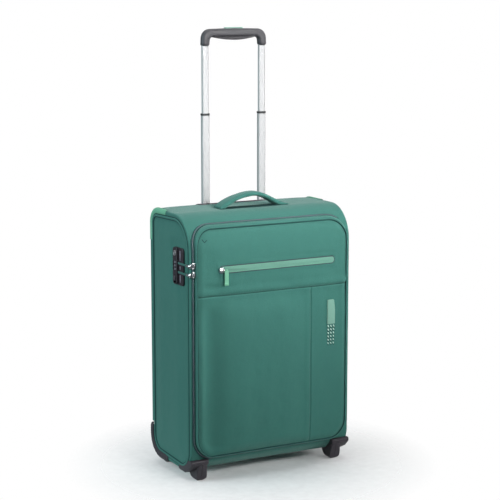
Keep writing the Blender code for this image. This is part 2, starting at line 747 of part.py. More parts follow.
def make_grip_insert(skins):
    """The finger pad under the bar, bowed down in the middle."""
    half, steps = 0.0480, 12
    top = GRIP_BAR - GAP
    low = []
    for step in range(steps + 1):
        share = -1 + 2 * step / steps
        low.append((half * share, top - 0.0012 - 0.0058 * math.cos(math.pi * share / 2)))
    outline = [*low, (half, top), (-half, top)]
    pad = prism("grip_insert", outline, "Y", TUBE_Y - 0.0080, TUBE_Y + 0.0080, skins["black"])
    return soften(pad, 0.0010, 1, 60)


def make_button(skins):
    half_x, half_y = BUTTON_HALF
    outline = rectangle(-half_x, half_x, TUBE_Y - half_y, TUBE_Y + half_y, 0.0040, 3)
    button = prism("release_button", outline, "Z", *BUTTON_Z, skins["mint"])
    soften(button, 0.0010, 1, 60)
    low, high = (-0.012, TUBE_Y - 0.0018, PUSH_BAR_Z[1] + 0.0003), (0.012, TUBE_Y + 0.0018, 0.9130)
    join(button, block("button_stem", low, high))
    end = TUBE_X + 0.0018
    bar = block(
        "push_rod_frame",
        (-end, TUBE_Y - 0.0018, PUSH_BAR_Z[0]),
        (end, TUBE_Y + 0.0018, PUSH_BAR_Z[1]),
        skins["steel"],
    )
    for side_name, side in SIDES:
        start = (side * TUBE_X, TUBE_Y, PUSH_ROD_END + 0.0004)
        length = PUSH_BAR_Z[1] - 0.001 - start[2]
        join(bar, rod("push_rod_" + side_name, start, length, "Z", PUSH_ROD_RADIUS, None, 8))


# ---- the lid and its pocket


def make_lid(skins):
    lid = sheet_piece("lid_shell", GAP, LID_DEPTH, lid_outline(), skins["green"])
    room = sheet_piece("lid_room", -0.020, LID_DEPTH - LID_SKIN, lid_outline(-LID_EDGE), None)
    cut(lid, room)
    sheet_piece("lid_board", GAP * 2, GAP * 2 + 0.002, lid_outline(-LID_EDGE - GAP), skins["lining"])
    tape = sheet_piece("zip_tape_lid", GAP, GAP + TAPE_THICK, lid_outline(TAPE_LID[1]), skins["tape"])
    cut(tape, prism("zip_tape_lid_inside", lid_outline(TAPE_LID[0]), "Y", -0.3, 0.3))
    cut(tape, block("zip_tape_lid_end", (TAPE_END, -0.3, 0.0), (0.3, 0.3, 0.7)))
    half = POCKET_ZIP_HEIGHT / 2
    band = rectangle(
        POCKET_ZIP_LEFT, POCKET_ZIP_RIGHT, POCKET_ZIP_Z - half, POCKET_ZIP_Z + half, half - 0.0005, 6
    )
    prism("pocket_zip_tape", band, "Y", LID_FRONT - 0.0019, LID_FRONT - GAP, skins["mint"])
    prism("badge_plate", rounded(BADGE_OUTLINE, 3), "Y", LID_FRONT - 0.0019, LID_FRONT - GAP, skins["mint"])


def make_pocket_slider(skins):
    """Slider of the pocket zip, with a pin at its end that the pull hangs on."""
    x, y, z = POCKET_PIVOT
    near = LID_FRONT - 0.0022
    outline = rectangle(x - 0.0160, x - 0.0050, POCKET_ZIP_Z - 0.0048, POCKET_ZIP_Z + 0.0048, 0.0030, 3)
    body = prism("pocket_slider", outline, "Y", near - 0.0034, near, skins["chrome"])
    join(body, rod("pocket_slider_pin", (x - 0.0070, y, z), 0.0105, "X", 0.0007, None, 8))
    eye = [(0.0010, -0.0030), (0.0020, -0.0030), (0.0020, 0.0025), (0.0010, 0.0025)]
    pull = lathe("pocket_pull", eye, (x, y, z), "X", skins["mint"], 12)
    low, high = (x - 0.0045, y - 0.0017, z - 0.0321), (x + 0.0045, y - 0.0001, z - 0.0013)
    strap = block("pocket_pull_strap", low, high)
    join(pull, soften(strap, 0.0005, 1))


def make_main_slider(label, z, skins):
    """Slider of the main zip, with two ears and a pin, and the flat pull that turns on the pin."""
    x, (wide, deep, tall) = SLIDER_X, SLIDER_SIZE
    near = CASE_RIM - GAP - TAPE_THICK - 0.0004
    outline = rectangle(x - wide / 2, x + wide / 2, z - tall / 2, z + tall / 2, 0.0030, 3)
    body = prism("main_slider_" + label, outline, "Y", near - deep, near, skins["chrome"])
    pivot_x, pivot_y = PULL_PIVOT
    for number, level in enumerate((-0.0046, 0.0038)):
        ear = block(
            f"slider_ear_{label}_{number}",
            (pivot_x - 0.0013, pivot_y - 0.0013, z + level),
            (x - 0.0020, pivot_y + 0.0013, z + level + 0.0008),
        )
        join(body, ear)
    join(body, rod("slider_pin_" + label, (pivot_x, pivot_y, z - 0.0042), 0.0084, "Z", 0.0007, None, 8))
    eye = [(0.0010, -0.0030), (0.0026, -0.0030), (0.0026, 0.0030), (0.0010, 0.0030)]
    pull = lathe("main_pull_" + label, eye, (pivot_x, pivot_y, z), "Z", skins["chrome"], 12)
    arm = block(
        "pull_arm_" + label,
        (pivot_x - 0.0026, pivot_y + 0.0012, z - 0.0023),
        (pivot_x - 0.0012, LOCK_STEP - 0.0015, z + 0.0023),
    )
    join(pull, arm)


# ---- the lock


def make_lock(skins):
    housing = soften(
        prism(
            "lock_housing",
            rectangle(LOCK_FRONT, LOCK_BACK, LOCK_LOW, LOCK_HIGH, 0.007),
            "X",
            LOCK_DECK,
            -CASE_HALF_WIDTH - GAP,
            skins["black"],
        ),
        0.0008,
        1,
        60,
    )
    raised = prism(
        "lock_raised",
        rectangle(LOCK_STEP, LOCK_BACK - 0.0006, LOCK_LOW + 0.0006, LOCK_HIGH - 0.0006, 0.006),
        "X",
        LOCK_FACE,
        -CASE_HALF_WIDTH - GAP - 0.001,
    )
    soften(raised, 0.0012, 2, 60)
    back = -CASE_HALF_WIDTH + 0.0140
    low, high = zip((LOCK_DECK + 0.002, back), LOCK_INNER_Y, LOCK_INNER_Z)
    inner = block("lock_inner", low, high)
    join(housing, raised, inner)
    for number, z in enumerate(DIAL_Z):
        slot = block(
            f"dial_slot_{number}",
            (LOCK_OUTSIDE, LOCK_Y - DIAL_RADIUS - 0.0006, z - 0.0026),
            (DIAL_X + DIAL_RADIUS + 0.0006, LOCK_Y + DIAL_RADIUS + 0.0006, z + 0.0026),
        )
        cut(housing, slot)
        ring = [(0.0013, -DIAL_THICK / 2), (DIAL_RADIUS, -DIAL_THICK / 2)]
        ring += [(DIAL_RADIUS, DIAL_THICK / 2), (0.0013, DIAL_THICK / 2)]
        lathe(f"lock_dial_{number + 1}", ring, (DIAL_X, LOCK_Y, z), "Z", skins["dial"], 20)
    cut(housing, rod("dial_shaft_bore", (DIAL_X, LOCK_Y, 0.4335), 0.027, "Z", 0.0013, None, 10))
    rod("dial_shaft", (DIAL_X, LOCK_Y, 0.4340), 0.026, "Z", 0.0010, skins["steel"], 10)
    make_key(housing, skins)
    make_release(housing, skins)


def make_key(housing, skins):
    """The key cylinder, in a bore through the lock."""
    start = (LOCK_FACE - 0.01, LOCK_Y, KEY_Z)
    cut(housing, rod("key_bore", start, 0.0215, "X", KEY_RADIUS + 0.0003, None, 20))
    start = (LOCK_FACE - 0.0006, LOCK_Y, KEY_Z)
    key = rod("lock_key_cylinder", start, 0.0110, "X", KEY_RADIUS, skins["chrome"], 20)
    low = (LOCK_OUTSIDE, LOCK_Y - 0.0005, KEY_Z - 0.0024)
    high = (LOCK_FACE + 0.003, LOCK_Y + 0.0005, KEY_Z + 0.0024)
    cut(key, block("keyway", low, high))


def make_release(housing, skins):
    """The release button, in a recess with room below it to slide."""
    floor, half = LOCK_FACE + 0.0044, RELEASE_HALF + GAP
    low, high = (LOCK_OUTSIDE, LOCK_Y - half, 0.4112), (floor, LOCK_Y + half, RELEASE_Z[1] + GAP)
    cut(housing, block("release_recess", low, high))
    low = (LOCK_FACE - 0.0010, LOCK_Y - RELEASE_HALF, RELEASE_Z[0])
    high = (floor - GAP, LOCK_Y + RELEASE_HALF, RELEASE_Z[1])
    soften(block("lock_release", low, high, skins["dial"]), 0.0006, 1, 60)


def make_joint_frames():
    """One empty for each moving body, on the axis that it turns or slides along."""
    shell = ["lid_shell", "lid_board", "zip_tape_lid", "pocket_zip_tape", "badge_plate"]
    lid = moving_frame("lid_axis", (*LID_AXIS, LID_LOW), shell)
    near = POCKET_PIVOT[1]
    runner = moving_frame("pocket_slider_path", (-0.1235, near, POCKET_ZIP_Z), ["pocket_slider"], lid)
    moving_frame("pocket_pull_axis", POCKET_PIVOT, ["pocket_pull"], runner)
    for label, z in zip(("upper", "lower"), SLIDER_Z):
        start = (SLIDER_X, CASE_RIM, z)
        runner = moving_frame("main_slider_path_" + label, start, ["main_slider_" + label])
        moving_frame("main_pull_axis_" + label, (*PULL_PIVOT, z), ["main_pull_" + label], runner)
    for number, z in enumerate(DIAL_Z, 1):
        moving_frame(f"dial_axis_{number}", (DIAL_X, LOCK_Y, z), [f"lock_dial_{number}"])
    moving_frame("key_axis", (LOCK_FACE, LOCK_Y, KEY_Z), ["lock_key_cylinder"])
    moving_frame("lock_release_path", (LOCK_FACE, LOCK_Y, RELEASE_Z[1]), ["lock_release"])
    for side_name, side in SIDES:
        axle = (side * WHEEL_X, WHEEL_Y, WHEEL_RADIUS)
        moving_frame("wheel_axis_" + side_name, axle, ["tyre_" + side_name, "hub_" + side_name])
    make_handle_frames()


def make_handle_frames():
    both = ("left", "right")
    stage = [piece + side for piece in ("lower_tube_", "collar_", "lower_latch_") for side in both]
    lower = moving_frame("handle_lower_path", (0, TUBE_Y, LOWER_Z[1]), stage)
    stage = [piece + side for piece in ("upper_tube_", "upper_latch_") for side in both]
    stage += ["grip_shell", "grip_insert"]
    upper = moving_frame("handle_upper_path", (0, TUBE_Y, UPPER_Z[1]), stage, lower)
    moving_frame("button_path", (0, TUBE_Y, BUTTON_Z[1]), ["release_button", "push_rod_frame"], upper)
    for side_name, side in SIDES:
        x = side * TUBE_X
        for stage, z, parent in (("lower_pin", LOWER_PIN_Z, lower), ("upper_pin", UPPER_PIN_Z, upper)):
            moving_frame(f"{stage}_path_{side_name}", (x, TUBE_Y, z), [f"{stage}_{side_name}"], parent)


def main():
    clear_scene()
    skins = make_materials()
    make_case(skins)
    make_carry_handle(skins)
    for side_name, side in SIDES:
        make_wheel(side_name, side, skins)
        make_wheel_housing(side_name, side, skins)
        make_corner_guard(side_name, side, skins)
        make_foot(side_name, side, skins)
    make_tow_handle(skins)
    make_lid(skins)
    make_pocket_slider(skins)
    for label, z in zip(("upper", "lower"), SLIDER_Z):
        make_main_slider(label, z, skins)
    make_lock(skins)
    make_joint_frames()


main()
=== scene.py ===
import math

import bmesh
import bpy
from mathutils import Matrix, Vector, noise
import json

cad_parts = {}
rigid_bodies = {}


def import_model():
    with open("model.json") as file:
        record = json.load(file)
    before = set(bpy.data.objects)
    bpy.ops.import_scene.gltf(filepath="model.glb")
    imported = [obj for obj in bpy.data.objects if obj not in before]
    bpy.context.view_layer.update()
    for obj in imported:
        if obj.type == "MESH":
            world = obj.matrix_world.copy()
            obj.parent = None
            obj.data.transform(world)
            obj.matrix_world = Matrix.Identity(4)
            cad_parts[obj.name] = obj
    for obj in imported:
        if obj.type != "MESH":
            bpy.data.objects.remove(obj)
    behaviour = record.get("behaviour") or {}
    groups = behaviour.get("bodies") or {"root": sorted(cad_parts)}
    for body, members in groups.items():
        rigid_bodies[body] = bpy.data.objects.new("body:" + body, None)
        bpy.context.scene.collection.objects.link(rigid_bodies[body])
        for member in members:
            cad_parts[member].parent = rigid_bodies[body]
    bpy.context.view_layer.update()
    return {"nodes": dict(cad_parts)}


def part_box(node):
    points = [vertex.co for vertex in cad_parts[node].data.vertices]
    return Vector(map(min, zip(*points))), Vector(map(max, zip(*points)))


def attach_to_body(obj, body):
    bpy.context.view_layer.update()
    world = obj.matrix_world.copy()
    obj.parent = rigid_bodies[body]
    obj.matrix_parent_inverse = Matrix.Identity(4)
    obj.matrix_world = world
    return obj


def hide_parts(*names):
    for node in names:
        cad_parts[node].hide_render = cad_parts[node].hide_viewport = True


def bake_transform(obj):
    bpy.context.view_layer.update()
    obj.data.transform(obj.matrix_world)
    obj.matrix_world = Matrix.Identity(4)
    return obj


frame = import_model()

SKINS = {}

# The case, from the frame.
GUSSET_LOW, GUSSET_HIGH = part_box("case_gusset")
HALF = -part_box("side_panel_left")[0].x
RIM, BACK = GUSSET_LOW.y, GUSSET_HIGH.y
BOTTOM, TOP = GUSSET_LOW.z, GUSSET_HIGH.z
BACK_LOW_RADIUS, BACK_TOP_RADIUS, FRONT_TOP_RADIUS, FRONT_LOW_RADIUS = 0.045, 0.032, 0.070, 0.048
BEND_TOP = TOP - FRONT_TOP_RADIUS
BEND_LOW = BOTTOM + FRONT_LOW_RADIUS

# Flat shapes on the front, as (half width, low, high, corner radius). Heights are measured along the bends.
LID_BASE = (0.1774, 0.0522, 0.5345, 0.0420)
LID_SEAM = (0.1755, 0.0552, 0.5222, 0.0385)
LID_PANEL = (0.1737, 0.0570, 0.5204, 0.0367)
MOUTH = (0.1640, 0.0700, 0.5132, 0.0260)
TEETH = (0.1806, 0.0492, 0.5371, 0.0450)
TAPE_EDGE = (0.1838, 0.0462, 0.5405, 0.0482)

POCKET_SEAM = 0.3885
SIDE_SEAM = 0.0865
POCKET_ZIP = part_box("pocket_zip_tape")
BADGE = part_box("badge_plate")
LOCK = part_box("lock_housing")
TUBE_Y = (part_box("upper_tube_left")[0].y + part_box("upper_tube_left")[1].y) / 2
TUBE_X = (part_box("upper_tube_right")[0].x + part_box("upper_tube_right")[1].x) / 2

SIDES = (("left", -1), ("right", 1))
FORWARD, BACKWARD = Vector((0, -1, 0)), Vector((0, 1, 0))

# A side cloth's distance from the middle, the lining's depth under the walls and its back panel's y.
SIDE_FACE = 0.1868
LINING_DEPTH, LINING_BACK = 0.0062, 0.0660


# ---- materials


class Nodes:
    """Builds one node material, a call at a time."""

    def __init__(self, name, roughness, metallic=0.0):
        self.made = bpy.data.materials.new(name)
        self.made.use_nodes = True
        self.tree = self.made.node_tree
        self.shader = self.tree.nodes["Principled BSDF"]
        self.shader.inputs["Roughness"].default_value = roughness
        self.shader.inputs["Metallic"].default_value = metallic
        self.place = self.tree.nodes.new("ShaderNodeTexCoord").outputs["Object"]

    def add(self, kind, settings=None, **inputs):
        node = self.tree.nodes.new(kind)
        for key, value in (settings or {}).items():
            setattr(node, key, value)
        for key, value in inputs.items():
            socket = node.inputs[key.replace("_", " ")]
            if isinstance(value, bpy.types.NodeSocket):
                self.tree.links.new(value, socket)
            else:
                socket.default_value = value
        return node

    def noise(self, scale, detail=2.0, stretch=(1, 1, 1)):
        spread = self.add("ShaderNodeMapping", Vector=self.place, Scale=stretch)
        grain = self.add("ShaderNodeTexNoise", Vector=spread.outputs[0], Scale=scale, Detail=detail)
        return grain.outputs["Fac"]

    def threads(self, pitch):
        """Two crossing rows of threads on each face, chosen by the way that the face points."""
        rows = []
        for axis in "XYZ":
            settings = {"bands_direction": axis, "wave_profile": "SIN"}
            wave = self.add("ShaderNodeTexWave", settings, Vector=self.place, Scale=0.314 / pitch)
            rows.append(wave.outputs["Fac"])
        facing = self.tree.nodes.new("ShaderNodeSeparateXYZ")
        texture_place = self.place.node
        self.tree.links.new(texture_place.outputs["Normal"], facing.inputs[0])
        total = 0.0
        for axis in range(3):
            crossing = self.math("MULTIPLY", rows[axis - 1], rows[axis - 2])
            weight = self.math("MULTIPLY", facing.outputs[axis], facing.outputs[axis])
            total = self.math("ADD", total, self.math("MULTIPLY", crossing, weight))
        return total

    def math(self, operation, first, second):
        node = self.tree.nodes.new("ShaderNodeMath")
        node.operation = operation
        for socket, value in zip(node.inputs, (first, second)):
            if isinstance(value, bpy.types.NodeSocket):
                self.tree.links.new(value, socket)
            else:
                socket.default_value = value
        return node.outputs[0]

    def ramp(self, value, low, high):
        node = self.add("ShaderNodeMapRange", Value=value)
        node.inputs["To Min"].default_value = low
        node.inputs["To Max"].default_value = high
        return node.outputs[0]

    def colour(self, base, *shades):
        """The base colour, multiplied by each shade."""
        value = shades[0]
        for shade in shades[1:]:
            value = self.math("MULTIPLY", value, shade)
        tint = self.tree.nodes.new("ShaderNodeVectorMath")
        tint.operation = "SCALE"
        tint.inputs[0].default_value = base
        self.tree.links.new(value, tint.inputs["Scale"])
        self.tree.links.new(tint.outputs[0], self.shader.inputs["Base Color"])

    def rough(self, value):
        self.tree.links.new(value, self.shader.inputs["Roughness"])

    def bump(self, *layers):
        """Layers of (height, distance in metres), the first one lowest."""
        last = None
        for height, distance in layers:
            node = self.add("ShaderNodeBump", Height=height, Distance=distance, Strength=1.0)
            if last:
                self.tree.links.new(last, node.inputs["Normal"])
            last = node.outputs[0]
        self.tree.links.new(last, self.shader.inputs["Normal"])

    def sheen(self, weight, roughness, tint=(1, 1, 1)):
        self.shader.inputs["Sheen Weight"].default_value = weight
        self.shader.inputs["Sheen Roughness"].default_value = roughness
        self.shader.inputs["Sheen Tint"].default_value = (*tint, 1)

    def specular(self, level):
        self.shader.inputs["Specular IOR Level"].default_value = level


def woven(name, base, pitch=0.0011, depth=0.00012, variation=0.10, sheen=0.18, specular=0.25):
    nodes = Nodes(name, 0.78)
    threads = nodes.threads(pitch)
    slub = nodes.noise(420.0, 3.0)
    cloudy = nodes.noise(9.0, 3.0)
    nodes.colour(
        base,
        nodes.ramp(threads, 0.90, 1.06),
        nodes.ramp(slub, 1 - variation, 1 + variation),
        nodes.ramp(cloudy, 0.94, 1.06),
    )
    nodes.bump((nodes.noise(38.0, 3.0), 0.0010), (slub, 0.0002), (threads, depth))
    nodes.rough(nodes.ramp(slub, 0.70, 0.88))
    nodes.sheen(sheen, 0.45, (0.85, 1.0, 0.95))
    nodes.specular(specular)
    return nodes.made


def moulded(name, base, roughness=0.5, grain=900.0, depth=0.00012, specular=0.5):
    nodes = Nodes(name, roughness)
    fine = nodes.noise(grain, 2.0)
    wear = nodes.noise(35.0, 4.0)
    nodes.colour(base, nodes.ramp(fine, 0.90, 1.10), nodes.ramp(wear, 0.92, 1.08))
    nodes.rough(nodes.ramp(wear, roughness - 0.07, roughness + 0.07))
    nodes.bump((fine, depth))
    nodes.specular(specular)
    return nodes.made


def metal(name, base, roughness, stretch=(1, 1, 1), depth=0.00002, metallic=1.0):
    nodes = Nodes(name, roughness, metallic)
    brushed = nodes.noise(700.0, 2.0, stretch)
    smudge = nodes.noise(25.0, 3.0)
    nodes.colour(base, nodes.ramp(brushed, 0.95, 1.04), nodes.ramp(smudge, 0.97, 1.03))
    nodes.rough(nodes.ramp(smudge, roughness - 0.05, roughness + 0.05))
    nodes.bump((brushed, depth))
    return nodes.made


def make_skins():
    return {
        "green": woven("green_fabric", (0.0385, 0.155, 0.128)),
        # Painted shade: this near-black green is laid as dark lines in creases and seams, as the raised dots'
        # shadows and as the carry handle's shadow.
        "seam": woven("seam_shadow", (0.010, 0.045, 0.043), depth=0.00005, sheen=0.0),
        "thread": woven("sewing_thread", (0.040, 0.130, 0.112), 0.0006, 0.00006, sheen=0.1),
        "tape": woven("zip_tape", (0.018, 0.062, 0.060), 0.0008, 0.00008, sheen=0.05),
        # zip_edge's dark lilac is partly the welt's own colour and partly painted shade round the pocket
        # zip's band.
        "edge": woven("zip_edge", (0.040, 0.062, 0.075), 0.0008, 0.00006, 0.05, 0.05),
        "teeth": moulded("zip_teeth", (0.125, 0.138, 0.170), 0.35, 900.0, 0.00004),
        "mint": woven("mint_cloth", (0.128, 0.292, 0.226), 0.0009, 0.00006, 0.05, 0.1),
        "mint_plastic": moulded("mint_plastic", (0.140, 0.385, 0.250), 0.42, 700.0, 0.00006),
        "badge": moulded("badge_plastic", (0.162, 0.330, 0.262), 0.42, 700.0, 0.00006),
        "pale": moulded("pale_print", (0.520, 0.720, 0.640), 0.6, 700.0, 0.00003),
        "lining": woven("grey_lining", (0.115, 0.120, 0.128), 0.0022, 0.00010, 0.06, 0.05),
        "binding": woven("grey_binding", (0.045, 0.048, 0.054), 0.0014, 0.00012, 0.08, 0.05),
        "mesh": woven("pocket_mesh", (0.060, 0.064, 0.070), 0.0030, 0.00040, 0.10, 0.05),
        "webbing": woven("strap_webbing", (0.030, 0.032, 0.036), 0.0018, 0.00030, 0.08, 0.1),
        "black": moulded("dark_plastic", (0.034, 0.028, 0.035), 0.50, 520.0, 0.00025),
        "inner": moulded("inner_plastic", (0.020, 0.020, 0.022), 0.6, 500.0, 0.00015),
        "lock": moulded("lock_plastic", (0.026, 0.019, 0.025), 0.30, 900.0, 0.00005),
        "dial": moulded("dial_plastic", (0.130, 0.118, 0.140), 0.35, 900.0, 0.00003),
        # Painted highlight: this pale lilac stands for the light caught on the lock's raised edge.
        "trim": moulded("lock_painted_highlight", (0.340, 0.300, 0.370), 0.30, 900.0, 0.00003),
        "mark": moulded("dial_mark", (0.030, 0.028, 0.032), 0.5, 900.0, 0.00002),
        "grip": moulded("grip_plastic", (0.050, 0.048, 0.054), 0.52, 620.0, 0.00018),
        "pad": moulded("grip_pad", (0.030, 0.028, 0.032), 0.62, 620.0, 0.00020),
        "tube": metal("aluminium_tube", (0.395, 0.398, 0.402), 0.50, (1.0, 1.0, 0.02), metallic=0.5),
        "steel": metal("spring_steel", (0.560, 0.560, 0.575), 0.34),
        "chrome": metal("zip_metal", (0.800, 0.800, 0.815), 0.20),
        "rubber": moulded("wheel_rubber", (0.022, 0.022, 0.024), 0.72, 800.0, 0.00015, 0.3),
        "floor": moulded("floor_paper", (0.86, 0.86, 0.86), 0.9, 60.0, 0.0001, 0.1),
    }


# ---- meshes

AXES = {
    "X": lambda a, b, along: Vector((along, a, b)),
    "Y": lambda a, b, along: Vector((a, along, b)),
    "Z": lambda a, b, along: Vector((a, b, along)),
}


def linked(name, mesh):
    obj = bpy.data.objects.new(name, mesh)
    bpy.context.scene.collection.objects.link(obj)
    return obj


def shaded(obj, sharp):
    """Smooth shading, with the edges that turn more than an angle left crisp."""
    obj.data.shade_smooth()
    obj.data.set_sharp_from_angle(angle=math.radians(sharp))
    return obj


def add_mesh(name, points, faces, skin):
    mesh = bpy.data.meshes.new(name)
    mesh.from_pydata([tuple(p) for p in points], [], faces)
    mesh.materials.append(SKINS[skin])
    mesh.shade_smooth()
    return linked(name, mesh)


def add_used(name, points, faces, skin):
    """A mesh of the faces and of only the points that they use."""
    used = sorted({v for face in faces for v in face})
    index = {v: n for n, v in enumerate(used)}
    faces = [tuple(index[v] for v in face) for face in faces]
    return add_mesh(name, [points[v] for v in used], faces, skin)


def quads(rows, wide, round_rows=False, round_wide=False):
    """Faces of a grid of points, held row by row, which may close on itself either way."""
    faces = []
    for j in range(rows if round_rows else rows - 1):
        this, after = j * wide, (j + 1) % rows * wide
        for i in range(wide if round_wide else wide - 1):
            k = (i + 1) % wide
            faces.append((this + i, this + k, after + k, after + i))
    return faces


def rim_of(faces):
    """The points on edges that only one face uses."""
    uses = {}
    for face in faces:
        for edge in zip(face, face[1:] + face[:1]):
            key = (min(edge), max(edge))
            uses[key] = uses.get(key, 0) + 1
    return {v for edge, count in uses.items() if count == 1 for v in edge}


def outward(obj, weld=False):
    """Turns a closed mesh's faces outwards, after its doubled points are made one where weld is set."""
    bm = bmesh.new()
    bm.from_mesh(obj.data)
    if weld:
        bmesh.ops.remove_doubles(bm, verts=bm.verts, dist=1e-6)
        bmesh.ops.dissolve_degenerate(bm, edges=bm.edges, dist=1e-7)
    bmesh.ops.recalc_face_normals(bm, faces=bm.faces)
    bm.to_mesh(obj.data)
    bm.free()
    return obj


def face_out(obj, inside=False):
    """Turns an open sheet's faces away from the middle of the case, or towards it."""
    middle = Vector((0, 0.006, 0.285))
    outs = sum(1 if face.normal.dot(face.center - middle) >= 0 else -1 for face in obj.data.polygons)
    if (outs < 0) != inside:
        obj.data.flip_normals()
    return obj


def attach(obj, body, slot, *nodes):
    """Makes a piece ride on a body, and stand for the nodes named."""
    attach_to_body(obj, body)
    if nodes:
        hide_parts(*nodes)


def joined(name, pieces, sharp=None):
    """Several mesh objects made one, each face with its own material."""
    bm = bmesh.new()
    skins = []
    for piece in pieces:
        offset = len(bm.faces)
        bm.from_mesh(piece.data)
        bm.faces.ensure_lookup_table()
        index = []
        for skin in piece.data.materials:
            if skin not in skins:
                skins.append(skin)
            index.append(skins.index(skin))
        for face in bm.faces[offset:]:
            face.material_index = index[face.material_index]
    mesh = bpy.data.meshes.new(name)
    bm.to_mesh(mesh)
    bm.free()
    for skin in skins:
        mesh.materials.append(skin)
    for piece in pieces:
        bpy.data.objects.remove(piece)
    obj = linked(name, mesh)
    return shaded(obj, sharp) if sharp else obj


def applied(obj):
    """The object with its modifiers made part of its mesh, and the cutters under it removed."""
    bpy.context.view_layer.update()
    shape = bpy.data.meshes.new_from_object(obj.evaluated_get(bpy.context.evaluated_depsgraph_get()))
    for child in list(obj.children_recursive):
        bpy.data.objects.remove(child)
    obj.modifiers.clear()
    obj.data = shape
    return obj


def rounded(corners, steps=8):
    """The outline through corners (a, b, radius), each turned with an arc of that radius."""
    points = []
    for i, (a, b, radius) in enumerate(corners):
        if radius <= 0:
            points.append((a, b))
            continue
        here = Vector((a, b))
        to_last = (Vector(corners[i - 1][:2]) - here).normalized()
        to_next = (Vector(corners[(i + 1) % len(corners)][:2]) - here).normalized()
        half = to_last.angle(to_next) / 2
        centre = here + (to_last + to_next).normalized() * (radius / math.sin(half))
        start = here + to_last * (radius / math.tan(half)) - centre
        end = here + to_next * (radius / math.tan(half)) - centre
        turn = start.angle(end)
        if start.x * end.y - start.y * end.x < 0:
            turn = -turn
        first = math.atan2(start.y, start.x)
        for step in range(steps + 1):
            angle = first + turn * step / steps
            points.append((centre.x + radius * math.cos(angle), centre.y + radius * math.sin(angle)))
    return points


def rectangle(a0, a1, b0, b1, radius=0.0, steps=6):
    return rounded([(a0, b0, radius), (a1, b0, radius), (a1, b1, radius), (a0, b1, radius)], steps)


def prism(name, outline, axis, low, high, skin):
    """The outline drawn along an axis: (y, z) along X, (x, z) along Y or (x, y) along Z."""
    place = AXES[axis]
    bm = bmesh.new()
    face = bm.faces.new([bm.verts.new(place(a, b, low)) for a, b in outline])
    grown = bmesh.ops.extrude_face_region(bm, geom=[face])
    moved = [v for v in grown["geom"] if isinstance(v, bmesh.types.BMVert)]
    bmesh.ops.translate(bm, verts=moved, vec=place(0, 0, high - low))
    bmesh.ops.recalc_face_normals(bm, faces=bm.faces)
    mesh = bpy.data.meshes.new(name)
    bm.to_mesh(mesh)
    bm.free()
    mesh.materials.append(SKINS[skin])
    return linked(name, mesh)


def block(name, low, high, skin, radius=0.0):
    return prism(name, rectangle(low[0], high[0], low[1], high[1], radius), "Z", low[2], high[2], skin)


def lathe(name, profile, centre, axis, skin, steps=48):
    """A closed profile of (radius, along) turned round an axis through centre."""
    points = []
    for step in range(steps):
        turn = 2 * math.pi * step / steps
        c, s = math.cos(turn), math.sin(turn)
        points.extend(AXES[axis](r * c, r * s, a) + Vector(centre) for r, a in profile)
    obj = add_mesh(name, points, quads(steps, len(profile), True, True), skin)
    return shaded(outward(obj, True), 40)


def rod(name, start, length, axis, radius, skin, steps=24):
    edge = min(radius, length) * 0.25
    profile = [(0, 0), (radius - edge, 0), (radius, edge)]
    profile += [(radius, length - edge), (radius - edge, length), (0, length)]
    return lathe(name, profile, start, axis, skin, steps)


def modify(obj, operation, *others):
    for other in others:
        change = obj.modifiers.new(other.name, "BOOLEAN")
        change.operation = operation
        change.object = other
        other.parent = obj
        other.hide_render = True
    return obj


def cut(obj, *others):
    return modify(obj, "DIFFERENCE", *others)


def keep(obj, other):
    return modify(obj, "INTERSECT", other)


def soften(obj, width, segments=3, angle=60):
    bevel = obj.modifiers.new("soften", "BEVEL")
    bevel.width = width
    bevel.segments = segments
    bevel.limit_method = "ANGLE"
    bevel.angle_limit = math.radians(angle)
    bevel.harden_normals = False
    return obj


def smoothed(obj, angle=35):
    return shaded(applied(obj), angle)


def plate(name, outline, axis, low, high, skin, width, segments=3):
    """A prism with softened edges."""
    return smoothed(soften(prism(name, outline, axis, low, high, skin), width, segments))


def brick(name, low, high, skin, width, segments=3, radius=0.0):
    """A block with softened edges."""
    return smoothed(soften(block(name, low, high, skin, radius), width, segments))


def sweep(name, path, outs, section, skin, closed=False):
    """A section of (outwards, sideways) offsets drawn along a path.

    outs is the outward direction, as one for the whole path or one for each point.
    """
    if isinstance(outs, Vector):
        outs = [outs] * len(path)
    points = []
    size, count = len(section), len(path)
    for i, here in enumerate(path):
        after = path[(i + 1) % count] if closed or i + 1 < count else here
        before = path[i - 1] if closed or i > 0 else here
        along = (after - before).normalized()
        out = (outs[i] - along * outs[i].dot(along)).normalized()
        aside = along.cross(out)
        points.extend(here + out * a + aside * b for a, b in section)
    faces = quads(count, size, closed, True)
    if not closed:
        faces += [tuple(range(size)), tuple(reversed(range((count - 1) * size, count * size)))]
    return outward(add_mesh(name, points, faces, skin))


def oval(out, aside, steps=10):
    turns = [2 * math.pi * step / steps for step in range(steps)]
    return [(out * math.cos(t), aside * math.sin(t)) for t in turns]


def wobble(place, scale, size, seed=0.0):
    """Smooth noise from -size to size, the same on each run."""
    return size * noise.noise(Vector(place) * scale + Vector((seed, seed * 0.7, seed * 1.3)))


def ease(value, low, high):
    share = min(1.0, max(0.0, (value - low) / (high - low)))
    return share * share * (3 - 2 * share)


def bump(value, width):
    """One at zero, falling away to nothing over a few widths."""
    return math.exp(-((value / width) ** 2))


def between(a, b, share):
    return tuple(p + (q - p) * share for p, q in zip(a, b))


def middle_of(node):
    low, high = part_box(node)
    return (low + high) / 2


# ---- the surfaces that pieces lie on


